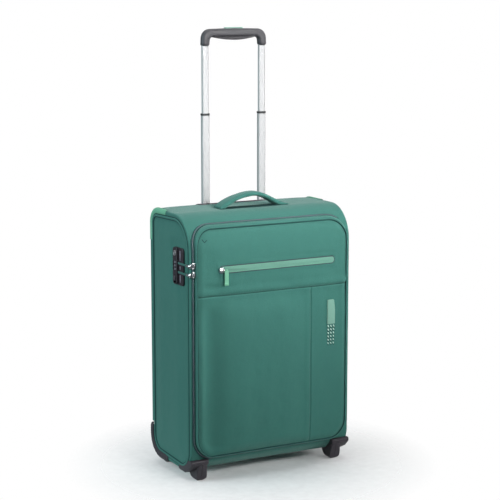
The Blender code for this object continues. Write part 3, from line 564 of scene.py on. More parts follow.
def front(x, s, lift=0.0):
    """A point on the front, s along it from below, lifted off the rim."""
    if s > BEND_TOP:
        turn, reach = (s - BEND_TOP) / FRONT_TOP_RADIUS, FRONT_TOP_RADIUS + lift
        return Vector((x, RIM + FRONT_TOP_RADIUS - reach * math.cos(turn), BEND_TOP + reach * math.sin(turn)))
    if s < BEND_LOW:
        turn, reach = (BEND_LOW - s) / FRONT_LOW_RADIUS, FRONT_LOW_RADIUS + lift
        return Vector((x, RIM + FRONT_LOW_RADIUS - reach * math.cos(turn), BEND_LOW - reach * math.sin(turn)))
    return Vector((x, RIM - lift, s))


def front_out(s):
    return (front(0, s, 0.01) - front(0, s)).normalized()


def front_s(y, z):
    """How far along the front a point of the case's cloth is."""
    if z < BEND_TOP:
        return z
    return BEND_TOP + FRONT_TOP_RADIUS * math.atan2(z - BEND_TOP, RIM + FRONT_TOP_RADIUS - y)


def ring(shape, across=84, up=110, turn_steps=16):
    """Points (x, s) round a shape, from the middle of its low edge: the same number for every shape."""
    half, low, high, radius = shape
    wide, tall = half - radius, high - radius
    points = []

    def run(first, last, count):
        points.extend(between(first, last, i / count) for i in range(count))

    def turn(x, s, first):
        for i in range(turn_steps):
            angle = math.radians(first + 90 * i / turn_steps)
            points.append((x + radius * math.cos(angle), s + radius * math.sin(angle)))

    run((0, low), (wide, low), across // 2)
    turn(wide, low + radius, 270)
    run((half, low + radius), (half, tall), up)
    turn(wide, tall, 0)
    run((wide, high), (-wide, high), across)
    turn(-wide, tall, 90)
    run((-half, tall), (-half, low + radius), up)
    turn(-wide, low + radius, 180)
    run((-wide, low), (0, low), across // 2)
    return points


def front_ring(shape, lift):
    return [front(x, s, lift) for x, s in ring(shape)]


def front_outs(shape):
    return [front_out(s) for _, s in ring(shape)]


def beyond(across, up, radius):
    return math.hypot(max(across, 0), max(up, 0)) + min(max(across, up), 0) - radius


def distance(a, b, shape):
    """How far a point on the front is outside a shape's edge, or inside it where negative."""
    half, low, high, radius = shape
    across = abs(a) - (half - radius)
    return beyond(across, abs(b - (low + high) / 2) - ((high - low) / 2 - radius), radius)


def side_distance(y, z):
    """How far a point on a side is outside the case's outline, or inside it where negative."""
    ahead = y < (RIM + BACK) / 2
    if z > (TOP + BOTTOM) / 2:
        radius = FRONT_TOP_RADIUS if ahead else BACK_TOP_RADIUS
    else:
        radius = FRONT_LOW_RADIUS if ahead else BACK_LOW_RADIUS
    along = abs(y - (RIM + BACK) / 2) - ((BACK - RIM) / 2 - radius)
    return beyond(along, abs(z - (TOP + BOTTOM) / 2) - ((TOP - BOTTOM) / 2 - radius), radius)


def case_loop(step=0.006, turn_steps=12):
    """Points (y, z, out y, out z) round the case seen from the side, down from the top of its flat front."""
    turns = [
        (RIM + FRONT_LOW_RADIUS, BOTTOM + FRONT_LOW_RADIUS, FRONT_LOW_RADIUS, 180),
        (BACK - BACK_LOW_RADIUS, BOTTOM + BACK_LOW_RADIUS, BACK_LOW_RADIUS, 270),
        (BACK - BACK_TOP_RADIUS, TOP - BACK_TOP_RADIUS, BACK_TOP_RADIUS, 0),
        (RIM + FRONT_TOP_RADIUS, TOP - FRONT_TOP_RADIUS, FRONT_TOP_RADIUS, 90),
    ]
    points = []
    last = (RIM, BEND_TOP)
    for y, z, radius, first in turns:
        arc = []
        for i in range(turn_steps + 1):
            angle = math.radians(first + 90 * i / turn_steps)
            out = (math.cos(angle), math.sin(angle))
            arc.append((y + radius * out[0], z + radius * out[1], *out))
        start = arc[0][:2]
        pieces = max(1, round(math.dist(start, last) / step))
        points.extend((*between(last, start, i / pieces), *arc[0][2:]) for i in range(pieces))
        points.extend(arc[:-1])
        last = arc[-1][:2]
    return points


def to_edge(measure, a, b):
    """The point moved onto the line where measure is zero."""
    nudge = 1e-5
    for _ in range(3):
        gap = measure(a, b)
        slope = ((measure(a + nudge, b) - gap) / nudge, (measure(a, b + nudge) - gap) / nudge)
        size = slope[0] ** 2 + slope[1] ** 2
        if size < 0.1:
            break
        a, b = a - gap * slope[0] / size, b - gap * slope[1] / size
    return a, b


def trimmed(name, us, vs, measure, place, skin):
    """A grid of faces inside the line where measure is zero, its ragged edge moved onto that line."""
    wide = len(us)
    faces = []
    for face in quads(len(vs), wide):
        low, high = face[0], face[2]
        if measure((us[low % wide] + us[high % wide]) / 2, (vs[low // wide] + vs[high // wide]) / 2) < 0:
            faces.append(face)
    rim = rim_of(faces)
    points = {}
    for v in {v for face in faces for v in face}:
        spot = (us[v % wide], vs[v // wide])
        points[v] = place(*(to_edge(measure, *spot) if v in rim else spot))
    return add_used(name, points, faces, skin)


def lines(low, high, step, extra=()):
    """Values from low to high, about a step apart, and the extra ones."""
    count = max(1, round((high - low) / step))
    found = {round(low + (high - low) * i / count, 6) for i in range(count + 1)}
    found |= {round(value, 6) for value in extra if low <= value <= high}
    found = sorted(found)
    kept = [found[0]]
    for value in found[1:]:
        if value - kept[-1] > step * 0.2 or value in extra or value == found[-1]:
            kept.append(value)
    return kept


def loft(name, rings, skin, keep_face=None):
    """Faces between rings that have the same number of points."""
    points = [p for ring_points in rings for p in ring_points]
    faces = quads(len(rings), len(rings[0]), False, True)
    if keep_face:
        faces = [f for f in faces if keep_face((points[f[0]] + points[f[2]]) / 2)]
    return face_out(add_used(name, points, faces, skin))


def stitches(name, path, outs, skin="thread", length=0.0026, gap=0.0011, radius=0.00032, closed=False):
    """A row of short threads along a path, with outs as in sweep."""
    if isinstance(outs, Vector):
        outs = [outs] * len(path)
    points = [*path, path[0]] if closed else path
    facing = [*outs, outs[0]] if closed else outs
    spans = [(b - a).length for a, b in zip(points, points[1:])]
    verts, faces = [], []
    travelled, index, passed = 0.0, 0, 0.0
    while travelled + length < sum(spans):
        ends = []
        for offset in (0.0, length):
            want = travelled + offset
            i, base = index, passed
            while i < len(points) - 2 and base + spans[i] < want:
                base += spans[i]
                i += 1
            share = min(1.0, (want - base) / (spans[i] or 1e-9))
            ends.append((points[i].lerp(points[i + 1], share), facing[i]))
            if offset == 0.0:
                index, passed = i, base
        (a, out), (b, _) = ends
        aside = (b - a).normalized().cross(out).normalized()
        start = len(verts)
        for here, rise in ((a, -0.2), (a.lerp(b, 0.25), 1.0), (a.lerp(b, 0.75), 1.0), (b, -0.2)):
            verts.extend([here + aside * radius, here + out * radius * rise, here - aside * radius])
        faces += [tuple(start + v for v in face) for face in quads(4, 3)]
        travelled += length + gap
    return add_mesh(name, verts, faces, skin)


# ---- the case's cloth


def crease_inset(y):
    """How far the gusset's cloth reaches round the case's edge onto its side."""
    return 0.0055 + 0.0065 * (y - RIM) / (BACK - RIM)


def gusset_section(crease):
    """Half of the section across the gusset, as (x, inset), from the middle outwards."""
    flat = [0.0, 0.012, 0.024, 0.036, 0.048, 0.060, 0.072, 0.0865, 0.098, 0.110, 0.1200, 0.1275]
    flat += [0.136, 0.144, 0.152, 0.158, 0.164, 0.170, 0.176, 0.181, 0.1838]
    turn = [(0.1856, 0.0004), (0.1868, 0.0014), (0.1874, 0.0030), (0.1875, crease * 0.72), (0.1866, crease)]
    return [(x, 0.0) for x in flat] + turn


def gusset_lift(x, y, z):
    """The cloth bows out a little between its edges, and puckers beside them."""
    edge = HALF - abs(x)
    bow = 0.0012 * ease(edge, 0.004, 0.040)
    if y < RIM + 0.02 and z < BEND_TOP:
        bow = 0.0
    pucker = wobble((x, y, z), 75, 0.0005, 3.0) * math.exp(-edge / 0.018)
    return bow + pucker + wobble((x, y, z), 16, 0.0007, 8.0) * ease(edge, 0.0, 0.02)


def in_mouth(x, y, z):
    return y < -0.03 and distance(x, front_s(y, z), MOUTH) < 0 and z > BEND_LOW - 0.01


def gusset_hole(x, y, z):
    """The mouth, the tow handle's bezel and the wheels' corners."""
    bezel = abs(x) < 0.0865 and y > 0.0625 and z > 0.520
    wheel = abs(x) > 0.1275 and y > 0.033 and z < 0.088
    return in_mouth(x, y, z) or bezel or wheel


def wrapped(name, loop, columns, points, hole, reach, lift, skin):
    """A band of cloth round the case with holes in it, fitted to the mouth's outline at the mouth."""
    wide = len(columns)
    faces = []
    for face in quads(len(loop), wide, True):
        here, after = loop[face[0] // wide], loop[face[2] // wide]
        x = (columns[face[0] % wide] + columns[face[2] % wide]) / 2
        if not hole(x, (here[0] + after[0]) / 2, (here[1] + after[1]) / 2):
            faces.append(face)
    for v in rim_of(faces):
        x, y, z = points[v]
        s = front_s(y, z)
        if y < -0.03 and z > BEND_LOW - reach and abs(distance(x, s, MOUTH)) < reach:
            points[v] = front(*to_edge(lambda a, b: distance(a, b, MOUTH), x, s), lift)
    return add_used(name, points, faces, skin)


def make_gusset():
    loop = case_loop()
    last = len(gusset_section(0)) - 1
    columns = [(-1, i) for i in range(last, 0, -1)] + [(1, i) for i in range(last + 1)]
    points = []
    for y, z, out_y, out_z in loop:
        section = gusset_section(crease_inset(y))
        for side, i in columns:
            x, inset = side * section[i][0], section[i][1]
            lift = (gusset_lift(x, y, z) if inset == 0 else 0.0) - inset
            points.append(Vector((x, y + out_y * lift, z + out_z * lift)))
    across = [p.x for p in points[:len(columns)]]
    cloth = wrapped("gusset_cloth", loop, across, points, gusset_hole, 0.012, 0.0, "green")
    attach(face_out(cloth), "case", "green_fabric", "case_gusset")


def side_lift(side, y, z):
    """How far a side panel's cloth stands out, flat round the lock."""
    inside = -side_distance(y, z) - crease_inset(y) - 0.006
    fold = 0.0007 * bump(y - 0.070, 0.004) * ease(z, 0.09, 0.16) * ease(TOP - z, 0.05, 0.12)
    ripple = wobble((side, y, z * 0.6), 60, 0.0006, 1.0) * math.exp(-max(inside, 0) / 0.02)
    cloudy = wobble((side * 2, y, z * 0.5), 14, 0.0011, 5.0)
    lift = 0.0030 * ease(inside, 0.0, 0.045) + (cloudy - fold + ripple) * ease(inside, 0.0, 0.02)
    if side > 0:
        return lift
    middle, half = (LOCK[0] + LOCK[1]) / 2, (LOCK[1] - LOCK[0]) / 2
    gap = max(abs(y - middle.y) - half.y, abs(z - middle.z) - half.z)
    share = ease(gap, 0.002, 0.022)
    return lift * share + 0.0007 * (1 - share)


def make_side(side_name, side):
    def measure(y, z):
        return side_distance(y, z) + crease_inset(y) + 0.0052

    def place(y, z):
        return Vector((side * (SIDE_FACE + side_lift(side, y, z)), y, z))

    ys, zs = lines(RIM, BACK, 0.0045), lines(BOTTOM, TOP, 0.0055)
    cloth = face_out(trimmed("side_cloth_" + side_name, ys, zs, measure, place, "green"))
    attach(cloth, "case", "green_fabric", "side_panel_" + side_name)


def edge_path(side, extra, reach):
    """A line round a side's edge, a little in from where the gusset's cloth ends."""
    path = []
    for y, z, out_y, out_z in case_loop(0.004, 16):
        depth = crease_inset(y) + extra
        path.append(Vector((side * reach, y - out_y * depth, z - out_z * depth)))
    return path


def make_edges(side_name, side):
    """The piping round a side, dark lines of painted shade in the creases beside it and a row of stitches."""
    out = Vector((side, 0, 0))
    path = edge_path(side, 0.0030, SIDE_FACE)
    piping = sweep("side_piping_" + side_name, path, out, oval(0.0026, 0.0027), "green", True)
    attach(piping, "case", "green_fabric")
    # Painted shade: dark lines laid in the creases either side of the piping.
    creases = [
        sweep("crease", edge_path(side, extra, 0.1872), out, oval(0.0009, 0.0012, 6), "seam", True)
        for extra in (0.0002, 0.0060)
    ]
    attach(joined("side_crease_" + side_name, creases), "case", "green_fabric")
    path = edge_path(side, 0.0100, 0.1875)
    lifted = [Vector((side * (0.1870 + side_lift(side, p.y, p.z)), p.y, p.z)) for p in path]
    attach(stitches("side_stitches_" + side_name, lifted, out, closed=True), "case", "green_fabric")


# ---- the zip round the lid

HINGE_FROM = 0.168
TOOTH_PITCH = 0.0020


def make_zip():
    def open_side(p):
        return p.x <= HINGE_FROM

    for name, body, edge, skin, lift, node in (
        ("lid_zip_cloth", "lid", LID_BASE, "green", 0.0008, "zip_tape_lid"),
        ("case_zip_cloth", "case", TAPE_EDGE, "tape", 0.0007, "zip_tape_case"),
    ):
        near, far = between(TEETH, edge, 0.15), between(TEETH, edge, 0.45)
        rings = [front_ring(near, 0.0017), front_ring(far, 0.0016), front_ring(edge, lift)]
        if body == "lid":
            rings.reverse()
        attach(loft(name, rings, skin, open_side), body, "zip_tape", node)
    attach(make_teeth("lid_zip_teeth", -0.0010, 0.0003, 0.0), "lid", "zip_tape")
    attach(make_teeth("case_zip_teeth", -0.0003, 0.0010, 0.5 * TOOTH_PITCH), "case", "zip_tape")


def make_teeth(name, inner, outer, place):
    """Coil teeth: short bars across the line where the two tapes meet."""
    path = ring(TEETH)
    path.append(path[0])
    section = [(inner, 0.0012, 0.0005), (inner, 0.0024, 0.0004)]
    section += [(outer, 0.0026, 0.0005), (outer, 0.0014, 0.0006)]
    bar = ((0, 1, 3, 2), (2, 3, 5, 4), (4, 5, 7, 6), (0, 2, 4, 6), (1, 7, 5, 3))
    travelled = 0.0
    verts, faces = [], []
    for a, b in zip(path, path[1:]):
        span = math.dist(a, b)
        along = ((b[0] - a[0]) / span, (b[1] - a[1]) / span)
        while place <= travelled + span:
            x, s = between(a, b, (place - travelled) / span)
            place += TOOTH_PITCH
            if x > HINGE_FROM - 0.004:
                continue
            start = len(verts)
            for reach, lift, half in section:
                for way in (-half, half):
                    across = x + along[1] * reach + along[0] * way
                    verts.append(front(across, s - along[0] * reach + along[1] * way, lift))
            faces += [tuple(start + n for n in face) for face in bar]
        travelled += span
    return shaded(add_mesh(name, verts, faces, "teeth"), 30)


# ---- the lid


def blended(lift, flat, beside, low, high):
    """The lift, passing over to a flat one beside something fixed to the lid."""
    share = ease(beside, low, high)
    return lift * share + flat * (1 - share)


def lid_lift(x, s):
    """How far the lid's front stands off the rim."""
    inside = -distance(x, s, LID_PANEL)
    lift = 0.0080 + 0.0030 * ease(inside, -0.0005, 0.009) + 0.0020 * ease(inside, 0.008, 0.075)
    puff = wobble((x, s, 0), 9, 0.0016, 2.0) + wobble((x * 1.4, s * 0.7, 1), 22, 0.0007, 4.0)
    lift += puff * ease(inside, 0.004, 0.05)
    ripple = wobble((x, s, 2), 90, 0.0007, 6.0) * math.exp(-max(inside, 0.0) / 0.010)
    lift += ripple * ease(inside, 0.0, 0.004)
    lift += lid_fall(x, s) * ease(inside, 0.0, 0.02)
    gap = s - POCKET_SEAM
    lift += 0.0016 * bump(gap - 0.009, 0.007) - 0.0010 * bump(gap + 0.012, 0.012) - 0.0022 * bump(gap, 0.0017)
    if gap < 0:
        lift += 0.0008 * bump(x - SIDE_SEAM + 0.008, 0.006) - 0.0013 * bump(x - SIDE_SEAM, 0.0015)
    low, high = POCKET_ZIP
    beside = max(low.x - x, x - high.x, low.z - s, s - high.z)
    lift = blended(lift, 0.0118, beside, 0.001, 0.022) + 0.0010 * bump(beside - 0.0030, 0.0022)
    low, high = BADGE
    beside = max(low.x - x, x - high.x, low.z - s, s - high.z)
    return blended(lift, min(lift, 0.0119), beside, 0.0, 0.015) - tuck(x, s)


def lid_fall(x, s):
    """How the lid's cloth hangs: hollow down its left, full beside that, two dips over the pocket's seam."""
    below = ease(POCKET_SEAM - s, 0.004, 0.055)
    full = ease(x, -0.140, -0.065) * (1 - ease(x, 0.020, 0.100))
    dips = 0.0030 * bump(x + 0.134, 0.030) + 0.0022 * bump(x - 0.030, 0.030)
    return 0.0058 * (full - bump(x + 0.146, 0.024)) * below - dips * bump(s - POCKET_SEAM - 0.012, 0.013)


def tuck(x, s):
    """A small crease in the cloth by the lid's top left corner."""
    along = ((x + 0.1585) - (s - 0.5005)) / math.sqrt(2)
    aside = ((x + 0.1585) + (s - 0.5005)) / math.sqrt(2)
    return 0.0016 * bump(aside, 0.0016) * math.exp(-((along / 0.0060) ** 4))


def on_lid(x, s, extra=0.0):
    return front(x, s, lid_lift(x, s) + extra)


def make_lid():
    half, low, high, _ = LID_PANEL
    near_seam = [POCKET_SEAM + d for d in (-0.004, -0.0025, -0.0012, 0.0, 0.0012, 0.0025, 0.004)]
    near_side = [SIDE_SEAM + d for d in (-0.0030, -0.0016, -0.0007, 0.0, 0.0007, 0.0016, 0.0030)]
    xs, ss = lines(-half, half, 0.0035, near_side), lines(low, high, 0.0035, near_seam)
    panel = face_out(trimmed("lid_cloth", xs, ss, lambda x, s: distance(x, s, LID_PANEL), on_lid, "green"))
    attach(panel, "lid", "green_fabric", "lid_shell")
    profile = [(0.0, 0.0004), (0.12, 0.0022), (0.16, 0.0045), (0.30, 0.0068), (0.62, 0.0088), (0.85, 0.0092)]
    profile.append((1.0, 0.0078))
    rings = [front_ring(between(LID_BASE, LID_SEAM, share), lift) for share, lift in profile]
    attach(loft("lid_wall", rings, "green"), "lid", "green_fabric")
    # Painted shade: dark lines laid where the lid's wall meets the rim and where it meets the front panel.
    creases = []
    inner_line = between(LID_SEAM, LID_PANEL, 0.55)
    for shape, lift, out, aside in ((LID_BASE, 0.0008, 0.0010, 0.0012), (inner_line, 0.0086, 0.0012, 0.0015)):
        path, outs = front_ring(shape, lift), front_outs(shape)
        creases.append(sweep("crease", path, outs, oval(out, aside, 6), "seam", True))
    attach(joined("lid_crease", creases), "lid", "green_fabric")
    shape = between(LID_BASE, LID_SEAM, 0.95)
    path, outs = front_ring(shape, 0.0088), front_outs(shape)
    attach(sweep("lid_piping", path, outs, oval(0.0013, 0.0012, 8), "green", True), "lid", "green_fabric")


def make_lid_seams():
    """Dark lines of painted shade in the lid's two seams and corner crease, and stitches beside them."""
    xs = lines(0.003 - LID_PANEL[0], LID_PANEL[0] - 0.003, 0.004)
    ss = lines(LID_PANEL[1] + 0.004, POCKET_SEAM - 0.002, 0.004)
    across = [on_lid(x, POCKET_SEAM, 0.0001) for x in xs]
    down = [on_lid(SIDE_SEAM, s, -0.0001) for s in ss]
    corner = ((-0.1622, 0.5040), (-0.1600, 0.5000), (-0.1580, 0.4972), (-0.1550, 0.4990), (-0.1522, 0.5012))
    mark = [on_lid(x, s, 0.0002) for x, s in corner]
    # Painted shade: dark lines along the pocket's seam, the side seam and the corner crease.
    seams = [
        sweep("pocket_seam", across, front_out(POCKET_SEAM), oval(0.0006, 0.0011, 6), "seam"),
        sweep("side_seam", down, FORWARD, oval(0.0003, 0.0004, 6), "seam"),
        sweep("corner_crease", mark, front_out(0.5), oval(0.0005, 0.0009, 6), "seam"),
    ]
    attach(joined("lid_seams", seams), "lid", "green_fabric")
    paths = [[on_lid(x, POCKET_SEAM + offset, 0.0001) for x in xs] for offset in (0.0032, 0.0062)]
    paths.append([on_lid(SIDE_SEAM - 0.0030, s, 0.0001) for s in ss])
    rows = [stitches("row", path, FORWARD) for path in paths]
    inset = 0.0042
    half, low, high, radius = LID_PANEL
    shape = (half - inset, low + inset, high - inset, radius - inset)
    path = [on_lid(x, s, 0.0001) for x, s in ring(shape)]
    rows.append(stitches("row_edge", path, front_outs(shape), closed=True))
    attach(joined("lid_stitches", rows), "lid", "green_fabric")


def make_pocket_zip():
    """The mint band over the pocket's zip, with a dark edge ring that is partly the welt's own lilac and
    partly painted shade of the groove round the band, teeth down its middle and stitches.
    """
    low, high = POCKET_ZIP
    middle, half = (low.z + high.z) / 2, (high.z - low.z) / 2 - 0.0006
    front_y = low.y + 0.0002
    outline = rectangle(low.x, high.x, middle - half, middle + half, half - 0.0006, 10)
    band = plate("pocket_zip_band", outline, "Y", front_y, high.y + 0.0006, "mint", 0.0004, 2)
    attach(band, "lid", "mint_trim", "pocket_zip_tape")
    # The dark edge ring: partly the welt's own lilac colour, partly painted shade in the groove round the
    # band.
    path = [Vector((x, low.y + 0.0010, z + math.copysign(0.0007, z - middle))) for x, z in outline]
    attach(sweep("pocket_zip_edge", path, FORWARD, oval(0.0011, 0.0012, 8), "edge", True), "lid", "zip_tape")
    pitch, wide, tall, margin = 0.0018, 0.0005, 0.0016, 0.006
    tooth = [(-wide, 0.0004, -tall), (wide, 0.0004, -tall), (wide, 0.0004, tall), (-wide, 0.0004, tall)]
    tooth += [(0, -0.0003, -0.0013), (0, -0.0003, 0.0013)]
    bar = ((0, 4, 5, 3), (1, 2, 5, 4), (0, 1, 4), (3, 5, 2))
    verts, faces = [], []
    for n in range(int((high.x - low.x - 2 * margin) / pitch)):
        centre = Vector((low.x + margin + n * pitch, front_y - 0.0002, middle))
        faces += [tuple(len(verts) + k for k in face) for face in bar]
        verts += [centre + Vector(offset) for offset in tooth]
    attach(add_mesh("pocket_zip_teeth", verts, faces, "mint"), "lid", "mint_trim")
    rows = []
    for side in (-1, 1):
        up = middle + side * (half - 0.0016)
        path = [Vector((x, front_y, up)) for x in lines(low.x + 0.008, high.x - 0.008, 0.01)]
        rows.append(stitches("row", path, FORWARD, "mint_plastic", 0.0022, 0.0009, 0.00025))
    attach(joined("pocket_zip_stitches", rows), "lid", "mint_trim")


def badge_outline(inset, corner, top, steps):
    """The badge's outline, its top right corner cut off at a slant."""
    low, high = BADGE
    right, ceiling = high.x - inset, high.z - inset
    corners = [(low.x + inset, low.z + inset, corner), (right, low.z + inset, corner)]
    corners += [(right, high.z - top, corner + 0.002), (right - 0.0025, ceiling, corner)]
    corners.append((low.x + inset, ceiling, corner))
    return rounded(corners, steps)


def make_badge():
    low, high = BADGE
    badge = plate("badge", badge_outline(0.0, 0.002, 0.0215, 5), "Y", low.y, high.y + 0.0008, "badge", 0.0006)
    attach(badge, "lid", "mint_plastic", "badge_plate")
    path = [Vector((x, low.y + 0.0004, z)) for x, z in badge_outline(0.002, 0.001, 0.022, 4)]
    attach(sweep("badge_rim", path, FORWARD, oval(0.0006, 0.0005, 6), "badge", True), "lid", "mint_plastic")
    make_dots("raised_dots", low, 0.0, 0.0011, "pale", "mint_trim")
    # Painted shadows: dark copies of the dots, set a little lower, under the pale ones.
    make_dots("dot_shadows", low, -0.0030, 0.0008, "seam", "green_fabric")


def make_dots(name, corner, drop, rise, skin, slot):
    """Three columns of slanted dots under the badge; drawn lower in the dark shade colour, they are the dots'
    painted shadows.
    """
    outline = ((-0.0016, 0.0016), (0.0, -0.0024), (0.0016, -0.0018), (0.0, 0.0023))
    verts, faces = [], []
    for row in range(6):
        size = 1 - 0.04 * row
        for column in range(3):
            x, s = corner.x + 0.0030 + column * 0.0066 - row * 0.0001, corner.z - 0.0045 - row * 0.0073 + drop
            start = len(verts)
            for height in (-0.0002, rise):
                verts += [on_lid(x + a * size, s + b * size, height) for a, b in outline]
            faces.append(tuple(range(start + 4, start + 8)))
            faces += [tuple(start + n for n in face) for face in quads(2, 4, False, True)]
    attach(shaded(outward(add_mesh(name, verts, faces, skin)), 30), "lid", slot)


def make_hinge():
    """The fold of cloth that joins the lid to the case."""
    low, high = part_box("hinge_strip")
    near, far, steps = 0.1766, 0.1852, 8
    zs = lines(low.z, high.z + 0.012, 0.010)
    points = []
    for z in zs:
        for i in range(steps + 1):
            x = near + (far - near) * i / steps
            bulge = math.sin(math.pi * i / steps)
            points.append(front(x, z, 0.0009 + 0.0014 * bulge + wobble((x, 0, z), 45, 0.0003)))
    strip = face_out(add_mesh("lid_hinge_cloth", points, quads(len(zs), steps + 1), "green"))
    thick = strip.modifiers.new("thick", "SOLIDIFY")
    thick.thickness = 0.0006
    thick.offset = 0
    applied(strip)
    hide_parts("hinge_strip")
    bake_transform(strip)


def make_mint_corner(side_name, side):
    """Mint cloth over a top back corner."""
    loop = [p for p in case_loop(0.004, 20) if p[1] > 0.4795 and p[0] > 0.019]
    points = []
    for y, z, out_y, out_z in loop:
        crease = crease_inset(y)
        taper = ease(y, 0.018, 0.050) if z > TOP - 0.001 else 1.0
        reach = 0.0012 + 0.0030 * taper
        shoulder = HALF - 0.0032
        section = [
            (HALF - 0.0012, crease * 0.96),
            (HALF + 0.0008, crease * 0.80),
            (HALF + 0.0009, 0.0035),
            (HALF + 0.0003, 0.0012),
            (HALF - 0.0012, -0.0006),
            (shoulder, -0.0015),
            (shoulder - reach * 0.5, -0.0018),
            (shoulder - reach, -0.0017),
            (shoulder - 0.0002 - reach, -0.0004),
        ]
        points.extend(Vector((side * x, y - out_y * inset, z - out_z * inset)) for x, inset in section)
    corner = add_mesh("mint_corner_" + side_name, points, quads(len(loop), len(section)), "mint_plastic")
    attach(face_out(corner), "case", "mint_trim")


def make_back():
    """Stitched seams down the back, either side of the tow handle, each a dark line of painted shade between
    two rows of stitches.
    """
    rows, seams = [], []
    for x in (-0.092, 0.092):
        path = [Vector((x, BACK + gusset_lift(x, BACK, z) + 0.0001, z)) for z in lines(0.0960, 0.5040, 0.006)]
        # Painted shade: a dark line laid along each seam.
        seams.append(sweep("back_line", path, BACKWARD, oval(0.0005, 0.0009, 6), "seam"))
        for way in (-0.0030, 0.0030):
            rows.append(stitches("back_row", [p + Vector((way, 0.0002, 0)) for p in path], BACKWARD))
    attach(joined("back_seams", seams), "case", "green_fabric")
    attach(joined("back_stitches", rows), "case", "green_fabric")


# ---- the carry handle

HANDLE_STEPS, HANDLE_SIDES = 60, 28


def handle_stations():
    """Points along the carry handle as (centre, outwards, half thickness, half width, how gathered)."""
    low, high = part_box("carry_handle")
    reach, base, rise, thick = high.x, low.z, high.z - low.z - 0.0044, 0.0100

    def arch(x):
        lean = 0.80 + 0.80 * ease(x, -0.050, 0.050)
        return base + 0.0040 + rise * max(0.0, math.cos(math.pi * x / (2 * reach))) ** lean

    centres, sizes = [], []
    for i in range(HANDLE_STEPS + 1):
        x = reach * (-1 + 2 * i / HANDLE_STEPS)
        slope = (arch(min(x + 0.001, reach)) - arch(max(x - 0.001, -reach))) / 0.002
        steep = min(abs(slope), 1.2)
        deep = min(arch(x) - base, thick * math.hypot(1, steep))
        gathered = ease(abs(x), 0.030, 0.066)
        centres.append(Vector((x, 0, arch(x) - deep / 2)))
        half = deep / 2 / math.hypot(1, steep * (1 - gathered * 0.6))
        sizes.append((half, 0.0152 + (high.y - 0.0152) * gathered, gathered))
    stations = []
    for i, (centre, size) in enumerate(zip(centres, sizes)):
        along = (centres[min(i + 1, HANDLE_STEPS)] - centres[max(i - 1, 0)]).normalized()
        stations.append((centre, Vector((-along.z, 0, along.x)), *size))
    return stations


def make_carry_handle():
    """A padded handle that flattens and widens towards its gathered ends, over a dark plate that is the
    handle's painted shadow on the top.
    """
    stations = handle_stations()
    points = []
    for centre, out, half, wide, gathered in stations:
        for k in range(HANDLE_SIDES):
            turn = 2 * math.pi * k / HANDLE_SIDES
            c, s = math.cos(turn), math.sin(turn)
            up = math.copysign(abs(c) ** (0.70 + 0.12 * (1 - gathered)), c) * half
            aside = math.copysign(abs(s) ** (0.50 + 0.18 * (1 - gathered)), s) * wide
            grain = wobble((centre.x, aside, up), 70, 0.0004) * (1 - gathered * 0.5)
            points.append(centre + out * (up + grain) + BACKWARD * aside)
    faces = quads(HANDLE_STEPS + 1, HANDLE_SIDES, False, True)
    faces += [tuple(range(HANDLE_SIDES)), tuple(reversed(range(HANDLE_STEPS * HANDLE_SIDES, len(points))))]
    grip = outward(add_mesh("carry_handle_cloth", points, faces, "green"))
    attach(grip, "case", "green_fabric", "carry_handle")
    rows = []
    for side in (-1, 1):
        line, facing = [], []
        for centre, out, half, wide, gathered in stations[4:-4]:
            line.append(centre + out * (half * (0.80 + 0.14 * gathered)) + BACKWARD * (side * wide * 0.72))
            facing.append(out)
        rows.append(stitches("row", line, facing, "thread", 0.0028, 0.0012, 0.0004))
    attach(joined("carry_handle_stitches", rows), "case", "green_fabric")
    low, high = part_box("carry_handle")
    # Painted shadow: a thin dark plate on the top under the handle stands for the shadow that the handle
    # casts.
    outline = rectangle(-high.x - 0.0004, high.x + 0.0004, low.y - 0.0006, high.y * 0.4, 0.003)
    strap = plate("carry_handle_painted_shadow", outline, "Z", TOP + 0.0004, TOP + 0.0022, "seam", 0.0006, 2)
    attach(strap, "case", "green_fabric")


# ---- the tow handle


def plan_of(node, margin, radius, steps=6):
    """A node's outline from above, a margin out from it."""
    low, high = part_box(node)
    return rectangle(low.x - margin, high.x + margin, low.y - margin, high.y + margin, radius, steps)


def make_grip():
    low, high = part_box("grip_shell")
    half, leg = high.x - 0.0006, 0.0176
    inner, bar = half - leg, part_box("grip_insert")[1].z + 0.0004
    corners = [
        (-half, low.z, 0.0),
        (-inner - 0.0010, low.z, 0.0),
        (-inner + 0.0008, bar, 0.0085),
        (inner - 0.0008, bar, 0.0085),
        (inner + 0.0010, low.z, 0.0),
        (half, low.z, 0.0),
        (half - 0.0015, high.z - 0.0020, 0.0200),
        (0.0, high.z, 0.0),
        (-half + 0.0015, high.z - 0.0020, 0.0200),
    ]
    grip = prism("grip_body", rounded(corners, 14), "Y", low.y + 0.0008, high.y - 0.0022, "grip")
    soften(grip, 0.0052, 5, 50)
    cut(grip, prism("button_pocket", plan_of("release_button", 0.0006, 0.0044), "Z", 0.9060, 0.94, "grip"))
    attach(smoothed(grip, 50), "handle_upper", "grip_plastic", "grip_shell")
    bands = []
    for z in (low.z + 0.0028, low.z + 0.0052):
        for _, side in SIDES:
            x0, x1 = sorted((side * (inner + 0.0012), side * (half + 0.0001)))
            outline = rectangle(x0, x1, low.y + 0.0010, high.y - 0.0024, 0.0050)
            path = [Vector((x, y, z)) for x, y in outline]
            middle = Vector(((x0 + x1) / 2, TUBE_Y, z))
            outs = [(p - middle).normalized() for p in path]
            bands.append(sweep("band", path, outs, oval(0.00025, 0.0003, 6), "pad", True))
    attach(joined("grip_lines", bands), "handle_upper", "grip_plastic")
    make_pad(bar)
    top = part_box("release_button")[1].z
    outline = plan_of("release_button", 0.0, 0.0042, 8)
    button = plate("grip_button", outline, "Z", 0.9093, top, "badge", 0.0016, 4)
    attach(button, "button", "mint_plastic", "release_button")


